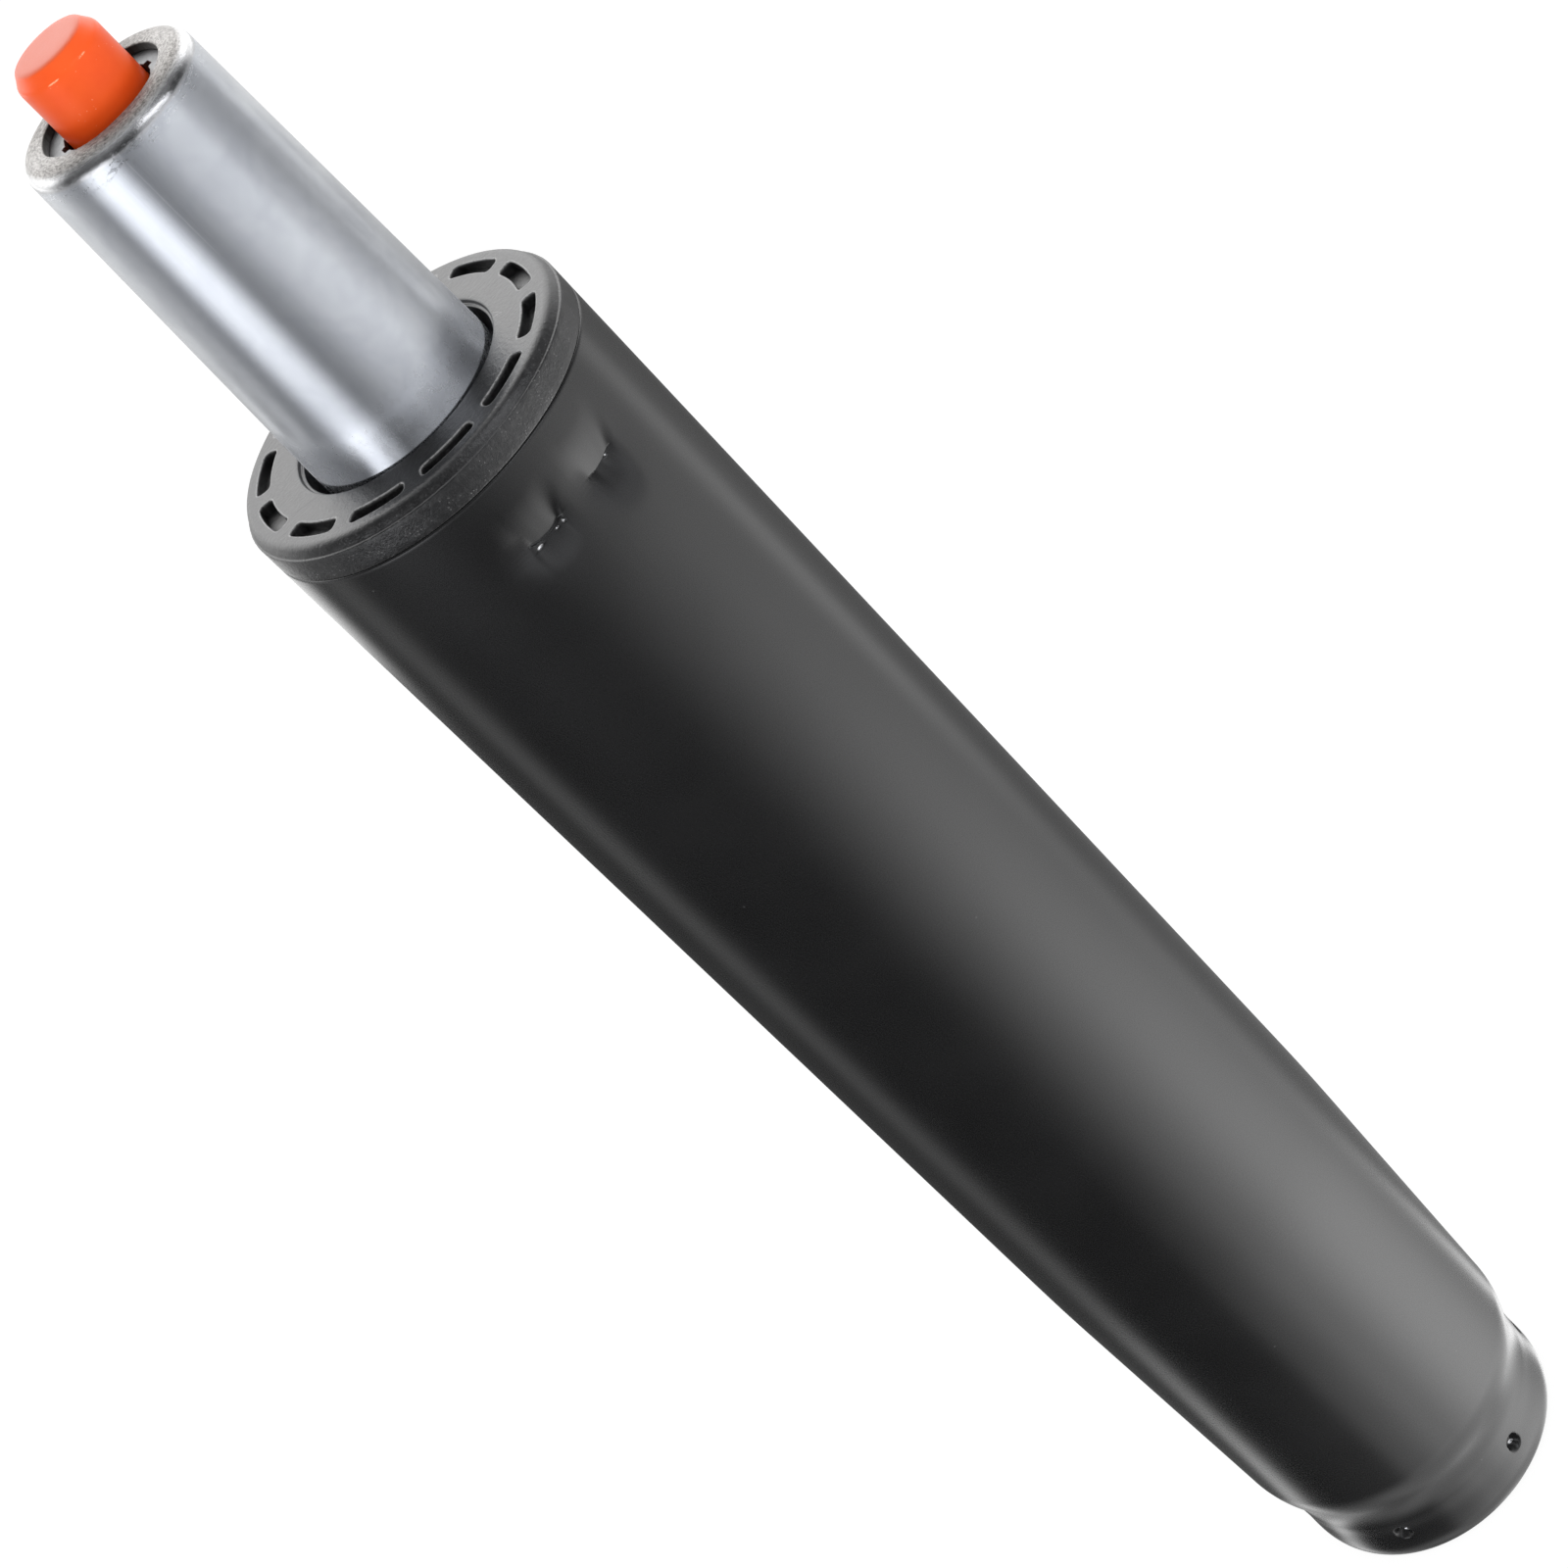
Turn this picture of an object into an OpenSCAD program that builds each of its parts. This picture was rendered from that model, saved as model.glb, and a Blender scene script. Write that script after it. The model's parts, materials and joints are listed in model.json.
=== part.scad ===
// Height-adjusting column of an office chair: a gas spring that slides and turns in a tapered tube.
// Millimetres, +Z up along the axis, origin at the centre of the lower rim. Shown fully lowered.

/* [Outer tube] */
// Outer diameter of the tube
tube_d = 50; // [49:0.1:51]
// Height of the tube up to the collar
tube_h = 243.5; // [240:0.5:260]
// Wall thickness of the tube
tube_wall = 2; // [1.8:0.1:2.2]
// Height at which the lower taper begins
cone_start = 72; // [60:1:90]
// Half angle of both tapers in degrees
taper_angle = 1.4378; // [1.3:0.0001:1.5]
// Outer diameter of the neck below the taper
neck_d = 43.4; // [43:0.1:44]
// Height of the straight neck
neck_h = 9.5; // [9:0.1:10]
// Height of the curved shoulder over the neck
shoulder_h = 11.5; // [9:0.1:13]
// Number of stakes round the neck
stake_count = 6; // [4:1:8]
// Height of the stakes over the rim
stake_z = 6.9; // [6:0.1:7.2]
// Diameter of a stake's mouth
stake_d = 2.9; // [1.6:0.1:3.4]

/* [Crimps] */
// Distance of the crimps below the tube's upper rim
crimp_drop = 10.6; // [9:0.1:16]
// Depth of a crimp
crimp_depth = 1.4; // [0.8:0.1:1.5]
// Width of a crimp along the circumference
crimp_w = 6; // [4:0.1:8]
// Angle between the two crimps of a pair in degrees
crimp_pitch = 26.5; // [24:0.5:36]

/* [Guide bush] */
// Height of the collar over the tube
collar_h = 5.3; // [4.8:0.1:6]
// Length of the sleeve inside the tube
bush_len = 94; // [70:1:100]
// Number of slots in the collar
slot_count = 12; // [8:1:15]
// Width of a slot
slot_w = 2.1; // [1.4:0.1:2.2]
// Length of a slot in degrees
slot_arc = 22; // [16:0.5:22]

/* [Gas spring] */
// Outer diameter of the pressure tube
gas_d = 28; // [27.8:0.1:28.2]
// Wall thickness of the pressure tube
gas_wall = 1.5; // [1.3:0.1:1.6]
// Length of the pressure tube above the collar
gas_show = 52.7; // [50:0.1:60]
// Lift of the gas spring
stroke = 120; // [80:5:125]
// Diameter of the piston rod
rod_d = 10; // [9.6:0.1:10.4]

/* [Release button] */
// Diameter of the button
button_d = 12.3; // [11.8:0.1:12.8]
// Height of the button over the rolled rim
button_show = 8.8; // [6:0.1:10]

/* [Bearing] */
// Diameter of a bearing ball
ball_d = 4; // [3.8:0.1:4.2]
// Number of bearing balls
ball_count = 10; // [8:1:11]

/* [Hidden] */
$fn = 96;

run = 0.05;                                   // radial running clearance
seat = 0.03;                                  // radial clearance of pieces that sit on each other
slope = tan(taper_angle);

// outer tube
tube_r = tube_d / 2;
tube_ri = tube_r - tube_wall;
neck_r = neck_d / 2;
neck_ri = neck_r - tube_wall;
rim_r = 1.1;
sh_z = neck_h + shoulder_h;
sh_r = tube_r - (cone_start - sh_z) * slope;  // taper radius at the top of the shoulder
sh_a = 2 * atan((sh_r - neck_r) / shoulder_h);
sh_R = shoulder_h / (2 * sin(sh_a));
crimp_z = tube_h - crimp_drop;

// guide bush
bush_top = tube_h + collar_h;
bush_low = tube_h - bush_len;
slot_r = tube_r - 3.85;
slot_depth = 1.6;

// rod end, base plate and bearing
rod_r = rod_d / 2;
rod_low = 0.5;
clip_z = 1.5;
clip_t = 0.9;
washer_t = 1;
plate_z = clip_z + clip_t + washer_t + 0.1;
plate_t = 5;
race_t = 2;
ball_r = ball_d / 2;
race_gap = ball_d * 0.65;
race_ro = 12.6;
ball_ring = 9.1;
race_low = plate_z + plate_t;
ball_z = race_low + race_t + race_gap / 2;
race_up = ball_z + race_gap / 2;
stop_z = race_up + race_t;
bump_z = stop_z + washer_t;
bump_h = 12;

// gas spring, from its lower end up
gas_r = gas_d / 2;
gas_ri = gas_r - gas_wall;
gas_low = bump_z + bump_h + 0.6;
lip_t = 1.3;
close_z = gas_low + lip_t;
seal_z = close_z + 1.5;
back_z = seal_z + 6;
guide_z = back_z + 1.5;
guide_t = 10;
sleeve_low = guide_z + guide_t;
spigot_h = 3;
sleeve_ri = 9.5;
sleeve_ro = 10.5;
gas_top = bush_top + gas_show;
lip_low = gas_top - lip_t;
lip_hole = 8.9;
lip_R = 2.2;
cone_z = bush_top + 0.2;                      // the seat taper begins just above the collar
top_r = gas_r - (gas_top - lip_R - cone_z) * slope;
cap_t = 1.5;
cap_z = lip_low - cap_t;
valve_h = 36.5;
valve_z = cap_z - valve_h;

// piston
piston_z = sleeve_low + spigot_h + stroke + 0.7;
piston_t = 16;
piston_r = sleeve_ri - run;
stud_r = 4;
nut_z = piston_z + piston_t + washer_t;
nut_t = 6;

// valve pin and button
pin_r = 2;
button_r = button_d / 2;
button_low = cap_z - 1.4;
button_top = gas_top + button_show;

// radius inside the tapered part of the pressure tube at height z
function bore_r(z) = gas_ri - max(0, z - cone_z) * slope;
// points on an arc about [x, y] from angle a to angle b
function arc(x, y, r, a, b, n) = [for (i = [0:n]) [x + r * cos(a + (b - a) * i / n), y + r * sin(a + (b - a) * i / n)]];
// rectangle of a ring's section
function sect(r1, r2, z1, z2) = [[r1, z1], [r2, z1], [r2, z2], [r1, z2]];

module turned(points) { rotate_extrude() polygon(points); }
module ring(r1, r2, z1, z2) { turned(sect(r1, r2, z1, z2)); }
module o_ring(r, t, z) { rotate_extrude() translate([r, z]) circle(t); }
// part of a ring, a degrees long and centred on angle c measured from -Y
module ring_piece(r1, r2, z1, z2, c, a) {
  rotate([0, 0, c - 90 - a / 2]) rotate_extrude(angle = a) polygon(sect(r1, r2, z1, z2));
}

// wedge that a crimping blade leaves in the wall, at angle c measured from -Y
module crimp(c) {
  rotate([0, 0, c - 90]) translate([tube_r - crimp_depth, 0, crimp_z]) rotate([90, 0, 0])
    linear_extrude(height = crimp_w, center = true)
      polygon([[0, 0], [crimp_depth + 0.6, -3.4], [crimp_depth + 0.6, 5.6]]);
}

module outer_tube() {
  color([0.07, 0.07, 0.075]) difference() {
    turned(concat(
      [[neck_ri, 0]],
      arc(neck_r - rim_r, rim_r, rim_r, -90, 0, 6),
      arc(neck_r + sh_R, neck_h, sh_R, 180, 180 - sh_a, 6),
      arc(sh_r - sh_R, sh_z, sh_R, -sh_a, 0, 6),
      [[tube_r, cone_start], [tube_r, tube_h - 0.4], [tube_r - 0.4, tube_h], [tube_ri, tube_h],
       [tube_ri, cone_start], [sh_r - tube_wall, sh_z], [neck_ri, neck_h]]));
    for (side = [0, 180]) for (k = [0, 1]) crimp(3 + side + k * crimp_pitch);
    for (k = [0:stake_count - 1]) rotate([0, 0, -90 + 23 + k * 360 / stake_count])
      translate([neck_r - 1.4, 0, stake_z]) rotate([0, 90, 0]) cylinder(h = 2.8, r1 = stake_d * 0.3, r2 = stake_d * 0.7);
  }
}

module guide_bush() {
  color([0.13, 0.13, 0.135]) difference() {
    turned([
      [gas_r + run, bush_low + 1], [gas_r + run + 1, bush_low], [tube_ri - 0.8, bush_low], [tube_ri, bush_low + 1.5],
      [tube_ri, tube_h], [tube_r - 0.4, tube_h], [tube_r, tube_h + 0.4], [tube_r, bush_top - 1.5],
      [tube_r - 0.3, bush_top - 1.45], [tube_r - 0.55, bush_top - 0.45], [tube_r - 1.1, bush_top],
      [gas_r + 1.6, bush_top], [gas_r + 1.5, bush_top - 0.65], [gas_r + 1.1, bush_top - 0.75], [gas_r + run, bush_top - 4.1]]);
    for (k = [0:slot_count - 1])
      ring_piece(slot_r - slot_w / 2, slot_r + slot_w / 2, bush_top - slot_depth, bush_top + 1, k * 360 / slot_count, slot_arc);
    for (k = [0:11])
      ring_piece(gas_r + 2.5, tube_ri - 1.8, bush_low - 1, tube_h - 20, k * 30, 22);
  }
}

module base_plate() {
  color([0.62, 0.63, 0.65])
    turned([[rod_r + run, plate_z], [neck_ri, plate_z], [neck_ri, stake_z - 0.8], [neck_ri - 0.6, stake_z],
            [neck_ri, stake_z + 0.8], [neck_ri, plate_z + plate_t], [rod_r + run, plate_z + plate_t]]);
}

module lower_race() {
  color([0.72, 0.73, 0.75]) difference() {
    ring(rod_r + 0.6, race_ro, race_low, race_low + race_t);
    o_ring(ball_ring, ball_r + 0.03, ball_z);
  }
}

module bearing_balls() {
  color([0.85, 0.86, 0.88])
    for (k = [0:ball_count - 1]) rotate([0, 0, k * 360 / ball_count]) translate([ball_ring, 0, ball_z]) sphere(ball_r);
}

module ball_cage() {
  color([0.72, 0.58, 0.3]) difference() {
    ring(rod_r + 0.7, race_ro - 0.6, ball_z - 0.5, ball_z + 0.5);
    for (k = [0:ball_count - 1]) rotate([0, 0, k * 360 / ball_count])
      translate([ball_ring, 0, ball_z - 1]) cylinder(h = 2, r = ball_r + 0.06);
  }
}

module upper_race() {
  color([0.72, 0.73, 0.75]) difference() {
    ring(rod_r + 0.1, race_ro, race_up, race_up + race_t);
    o_ring(ball_ring, ball_r + 0.03, ball_z);
  }
}

module stop_washer() { color([0.66, 0.67, 0.69]) ring(rod_r + 0.1, 12, stop_z, stop_z + washer_t); }

module bump_stop() {
  color([0.09, 0.09, 0.09])
    turned([[rod_r + seat, bump_z], [11.2, bump_z], [11.2, bump_z + 3], [10.2, bump_z + 4.2], [10.2, bump_z + 7.8],
            [11.2, bump_z + 9], [11.2, bump_z + bump_h - 1], [10.4, bump_z + bump_h], [rod_r + seat, bump_z + bump_h]]);
}

module piston_rod() {
  color([0.8, 0.81, 0.83])
    turned([[0, rod_low], [rod_r - 0.5, rod_low], [rod_r, rod_low + 0.5], [rod_r, clip_z], [rod_r - 0.9, clip_z],
            [rod_r - 0.9, clip_z + clip_t], [rod_r, clip_z + clip_t], [rod_r, piston_z], [stud_r, piston_z],
            [stud_r, nut_z + nut_t + 0.6], [stud_r - 0.6, nut_z + nut_t + 1.2], [0, nut_z + nut_t + 1.2]]);
}

module base_washer() { color([0.68, 0.69, 0.71]) ring(rod_r + 0.1, 10, clip_z + clip_t, clip_z + clip_t + washer_t); }

module retaining_clip() { color([0.3, 0.3, 0.32]) ring_piece(rod_r - 0.9, rod_r + 2.6, clip_z, clip_z + clip_t, 180, 300); }

seal_at = piston_z + 5;
band_at = piston_z + 11.5;
module piston() {
  color([0.7, 0.71, 0.73])
    turned([[stud_r + seat, piston_z], [piston_r - 0.6, piston_z], [piston_r, piston_z + 0.6],
            [piston_r, seal_at - 1.35], [piston_r - 2.6, seal_at - 1.35], [piston_r - 2.6, seal_at + 1.35], [piston_r, seal_at + 1.35],
            [piston_r, band_at - 1.5], [piston_r - 1.2, band_at - 1.5], [piston_r - 1.2, band_at + 1.5], [piston_r, band_at + 1.5],
            [piston_r, piston_z + piston_t - 0.6], [piston_r - 0.6, piston_z + piston_t], [stud_r + seat, piston_z + piston_t]]);
}
module piston_seal() { color([0.08, 0.08, 0.08]) o_ring(piston_r - 1.28, 1.28, seal_at); }
module piston_ring() { color([0.86, 0.85, 0.8]) ring(piston_r - 1.2, piston_r + 0.01, band_at - 1.5, band_at + 1.5); }
module piston_washer() { color([0.66, 0.67, 0.69]) ring(stud_r + seat, 7.4, nut_z - washer_t, nut_z); }
module piston_nut() {
  color([0.6, 0.61, 0.63]) difference() {
    translate([0, 0, nut_z]) cylinder(h = nut_t, r = 7.5, $fn = 6);
    translate([0, 0, nut_z - 1]) cylinder(h = nut_t + 2, r = stud_r + seat);
  }
}

module pressure_tube() {
  color([0.72, 0.73, 0.75])
    turned(concat(
      [[9, gas_low]], arc(gas_r - 1.2, gas_low + 1.2, 1.2, -90, 0, 5),
      [[gas_r, cone_z]],
      arc(top_r - lip_R, gas_top - lip_R, lip_R, 0, 90, 8),
      [[lip_hole + 0.3, gas_top], [lip_hole, gas_top - 0.3], [lip_hole, lip_low], [bore_r(lip_low), lip_low],
       [gas_ri, cone_z], [gas_ri, close_z], [9, close_z]]));
}

module inner_cylinder() {
  color([0.66, 0.67, 0.7]) difference() {
    ring(sleeve_ri, sleeve_ro, sleeve_low, valve_z);
    for (k = [0:3]) rotate([0, 0, 45 + k * 90]) translate([0, 0, sleeve_low + 6]) rotate([0, 90, 0]) cylinder(h = 20, r = 1.2);
  }
}

module rod_guide() {
  color([0.2, 0.2, 0.22])
    turned([[rod_r + run, guide_z], [gas_ri, guide_z], [gas_ri, guide_z + guide_t - 1], [gas_ri - 1, sleeve_low],
            [sleeve_ri - seat, sleeve_low], [sleeve_ri - seat, sleeve_low + spigot_h], [rod_r + run, sleeve_low + spigot_h]]);
}
module seal_washer() { color([0.66, 0.67, 0.69]) ring(rod_r + 0.4, gas_ri, back_z, guide_z); }
module rod_seal() {
  color([0.1, 0.1, 0.1])
    turned([[rod_r + run, seal_z], [gas_ri, seal_z], [gas_ri, back_z], [rod_r + 2, back_z], [rod_r + 2, back_z - 1.5],
            [rod_r + run, back_z - 3]]);
}
module closing_washer() { color([0.66, 0.67, 0.69]) ring(rod_r + 0.4, gas_ri, close_z, seal_z); }

low_o = valve_z + 8;
high_o = valve_z + 28;
pin_o1 = valve_z + 18.5;
pin_o2 = valve_z + 24;
valve_r1 = bore_r(valve_z + 17) - 0.1;
valve_r2 = bore_r(cap_z) - 0.1;
module valve_housing() {
  color([0.76, 0.62, 0.33])
    turned([
      [4.2, valve_z], [valve_r1 - 0.6, valve_z], [valve_r1, valve_z + 0.6],
      [valve_r1, low_o - 1.25], [valve_r1 - 2, low_o - 1.25], [valve_r1 - 2, low_o + 1.25], [valve_r1, low_o + 1.25],
      [valve_r1, valve_z + 17], [valve_r2, valve_z + 17],
      [valve_r2, high_o - 1.25], [valve_r2 - 2, high_o - 1.25], [valve_r2 - 2, high_o + 1.25], [valve_r2, high_o + 1.25],
      [valve_r2, cap_z], [button_r + 0.7, cap_z], [button_r + 0.7, cap_z - 6.2], [pin_r + run, cap_z - 6.2],
      [pin_r + run, pin_o2 + 0.8], [pin_r + 1.5, pin_o2 + 0.8], [pin_r + 1.5, pin_o2 - 0.8], [pin_r + run, pin_o2 - 0.8],
      [pin_r + run, pin_o1 + 0.8], [pin_r + 1.5, pin_o1 + 0.8], [pin_r + 1.5, pin_o1 - 0.8], [pin_r + run, pin_o1 - 0.8],
      [pin_r + run, valve_z + 14], [4.2, valve_z + 14]]);
}
module valve_orings() {
  color([0.09, 0.09, 0.09]) { o_ring(valve_r1 - 0.95, 1, low_o); o_ring(valve_r2 - 0.95, 1, high_o); }
}
module pin_seals() {
  color([0.09, 0.09, 0.09]) { o_ring(pin_r + 0.76, 0.7, pin_o1); o_ring(pin_r + 0.76, 0.7, pin_o2); }
}

module top_washer() {
  color([0.6, 0.61, 0.63]) difference() {
    ring(button_r + 0.5, bore_r(lip_low) - 0.1, cap_z, lip_low);
    for (k = [0:3]) rotate([0, 0, 5 + k * 90]) translate([button_r + 0.3, -1.1, cap_z - 1]) cube([0.9, 2.2, cap_t + 2]);
  }
}

module valve_pin() {
  color([0.8, 0.81, 0.83])
    turned([[0, valve_z + 2], [pin_r - 0.3, valve_z + 2], [pin_r, valve_z + 2.3], [pin_r, valve_z + 11.7], [3.4, valve_z + 11.7],
            [3.4, valve_z + 13.7], [pin_r, valve_z + 13.7], [pin_r, button_low + 6], [0, button_low + 6]]);
}

module release_button() {
  color([0.96, 0.36, 0.1])
    turned(concat(
      [[pin_r, button_low], [button_r - 0.4, button_low], [button_r, button_low + 0.4]],
      arc(button_r - 1.7, button_top - 2, 1.7, 0, 52, 4),
      [[button_r - 1.75, button_top - 0.12], [button_r - 2.2, button_top], [0, button_top], [0, button_low + 6], [pin_r, button_low + 6]]));
}

outer_tube();
guide_bush();
base_plate();
lower_race();
bearing_balls();
ball_cage();
upper_race();
stop_washer();
bump_stop();
piston_rod();
base_washer();
retaining_clip();
piston();
piston_seal();
piston_ring();
piston_washer();
piston_nut();
pressure_tube();
inner_cylinder();
rod_guide();
seal_washer();
rod_seal();
closing_washer();
valve_housing();
valve_orings();
pin_seals();
top_washer();
valve_pin();
release_button();
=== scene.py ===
import json
import math

import bmesh
import bpy
import numpy as np
from mathutils import Matrix, Vector


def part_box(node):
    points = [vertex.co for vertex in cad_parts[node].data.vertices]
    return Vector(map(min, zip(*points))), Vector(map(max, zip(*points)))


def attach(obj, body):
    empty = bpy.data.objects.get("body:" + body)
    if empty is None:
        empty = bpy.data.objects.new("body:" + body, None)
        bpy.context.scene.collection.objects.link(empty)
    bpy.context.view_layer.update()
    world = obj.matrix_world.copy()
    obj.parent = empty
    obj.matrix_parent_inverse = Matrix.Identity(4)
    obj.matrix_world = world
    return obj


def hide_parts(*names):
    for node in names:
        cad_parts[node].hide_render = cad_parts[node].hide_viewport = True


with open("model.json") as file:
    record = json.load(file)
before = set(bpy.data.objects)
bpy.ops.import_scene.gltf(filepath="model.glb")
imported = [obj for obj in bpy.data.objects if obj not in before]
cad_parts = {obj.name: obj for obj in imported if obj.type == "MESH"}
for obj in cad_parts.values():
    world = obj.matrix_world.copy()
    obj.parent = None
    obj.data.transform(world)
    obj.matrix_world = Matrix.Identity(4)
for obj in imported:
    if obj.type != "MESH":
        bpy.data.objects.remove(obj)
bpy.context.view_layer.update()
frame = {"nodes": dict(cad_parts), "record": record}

NODES = frame["nodes"]
MM = 0.001
SLOPE = math.tan(math.radians(1.4378))

# ---------------------------------------------------------------- mesh tools
# Lengths are millimetres. Angles are degrees round the axis, 0 at -Y and growing towards +X.


def ease(x, a, b):
    t = np.clip((np.asarray(x, float) - a) / (b - a), 0.0, 1.0)
    return t * t * (3.0 - 2.0 * t)


def gap(a, c):
    """Signed angle from c to a, between -180 and 180."""
    return (np.asarray(a, float) - c + 180.0) % 360.0 - 180.0


def ripple(cols, seed, low, high, count):
    """Even, repeatable unevenness round a ring, about 1 in size."""
    g = np.random.default_rng(seed)
    a = np.radians(cols)
    out = np.zeros_like(a)
    for f in g.integers(low, high, count):
        out += g.normal() * np.cos(f * a + g.uniform(0, 2 * math.pi))
    return out / math.sqrt(count)


class Shape:
    """Points and faces of one piece, built ring by ring."""

    def __init__(self):
        self.v, self.f, self.w, self.n = [], [], [], 0

    def points(self, p, wear_and_painted_highlight=0.0):
        p = np.asarray(p, float)
        i = np.arange(self.n, self.n + len(p))
        self.v.append(p)
        self.w.append(np.broadcast_to(np.asarray(wear_and_painted_highlight, float), (len(p),)))
        self.n += len(p)
        return i

    def ring(self, r, z, cols, wear_and_painted_highlight=0.0):
        a = np.radians(cols)
        r = np.broadcast_to(np.asarray(r, float), a.shape)
        z = np.broadcast_to(np.asarray(z, float), a.shape)
        return self.points(np.stack([r * np.sin(a), -r * np.cos(a), z], 1), wear_and_painted_highlight)

    def band(self, a, b):
        n = len(a)
        for j in range(n):
            k = (j + 1) % n
            self.f.append((a[j], a[k], b[k], b[j]))

    def zip(self, a, ta, b, tb):
        """Joins two rings that have different columns, which share some angles."""
        i = j = 0
        na, nb = len(a), len(b)
        while i < na or j < nb:
            ea = ta[i + 1] if i + 1 < na else ta[0] + 360.0 if i < na else 1e9
            eb = tb[j + 1] if j + 1 < nb else tb[0] + 360.0 if j < nb else 1e9
            A, B = a[i % na], b[j % nb]
            if abs(ea - eb) < 1e-6:
                self.f.append((A, a[(i + 1) % na], b[(j + 1) % nb], B))
                i, j = i + 1, j + 1
            elif ea < eb:
                self.f.append((A, a[(i + 1) % na], B))
                i += 1
            else:
                self.f.append((A, b[(j + 1) % nb], B))
                j += 1

    def loft(self, rings, closed=False):
        for a, b in zip(rings[:-1], rings[1:]):
            self.band(a, b)
        if closed:
            self.band(rings[-1], rings[0])

    def tip(self, a, z, wear_and_painted_highlight=0.0):
        """Closes a ring with a point on the axis."""
        t = self.points([[0, 0, z]], wear_and_painted_highlight)[0]
        n = len(a)
        for j in range(n):
            self.f.append((a[j], a[(j + 1) % n], t))

    def piece(self, name, body, replaced, material, sharp=40.0):
        me = bpy.data.meshes.new(name)
        me.from_pydata((np.concatenate(self.v) * MM).tolist(), [], [tuple(int(i) for i in f) for f in self.f])
        # per-point mask: bare metal on the tube, painted highlight on the slot rims and on the button's flash
        wear_and_painted_highlight = me.attributes.new("wear_and_painted_highlight", "FLOAT", "POINT")
        wear_and_painted_highlight.data.foreach_set("value", np.concatenate(self.w).astype(np.float32))
        b = bmesh.new()
        b.from_mesh(me)
        bmesh.ops.remove_doubles(b, verts=b.verts, dist=3e-7)
        bmesh.ops.recalc_face_normals(b, faces=b.faces)
        b.to_mesh(me)
        b.free()
        me.polygons.foreach_set("use_smooth", np.ones(len(me.polygons), bool))
        me.set_sharp_from_angle(angle=math.radians(sharp))
        me.materials.append(material)
        me.update()
        o = bpy.data.objects.new(name, me)
        bpy.context.scene.collection.objects.link(o)
        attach(o, body)
        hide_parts(replaced)
        return o


def rounded(corners, n=5):
    """A closed section from corners (r, z, radius), with every corner turned into an arc."""
    out = []
    m = len(corners)
    for i in range(m):
        p0, p, p1 = (np.array(corners[(i + d) % m][:2], float) for d in (-1, 0, 1))
        rad = corners[i][2]
        if rad <= 0:
            out.append(tuple(p))
            continue
        a, b = p0 - p, p1 - p
        la, lb = np.linalg.norm(a), np.linalg.norm(b)
        a, b = a / la, b / lb
        half = math.acos(max(-1.0, min(1.0, float(a @ b)))) / 2
        cut = min(rad / math.tan(half), 0.48 * la, 0.48 * lb)
        rr = cut * math.tan(half)
        mid = (a + b) / np.linalg.norm(a + b)
        c = p + mid * (rr / math.sin(half))
        s, e = p + a * cut - c, p + b * cut - c
        a0 = math.atan2(s[1], s[0])
        d = (math.atan2(e[1], e[0]) - a0 + math.pi) % (2 * math.pi) - math.pi
        for k in range(n + 1):
            t = a0 + d * k / n
            out.append((c[0] + rr * math.cos(t), c[1] + rr * math.sin(t)))
    return out


def even(n):
    return np.arange(n) * 360.0 / n


# ---------------------------------------------------------------- node tools


class Val:
    """A number in a node tree, with arithmetic that adds Math nodes."""

    def __init__(self, tree, socket):
        self.t, self.s = tree, socket

    def __add__(self, o):
        return self.t.math("ADD", self, o)

    __radd__ = __add__

    def __sub__(self, o):
        return self.t.math("SUBTRACT", self, o)

    def __rsub__(self, o):
        return self.t.math("SUBTRACT", o, self)

    def __mul__(self, o):
        return self.t.math("MULTIPLY", self, o)

    __rmul__ = __mul__

    def __truediv__(self, o):
        return self.t.math("DIVIDE", self, o)

    def abs(self):
        return self.t.math("ABSOLUTE", self, 0.0)


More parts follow.
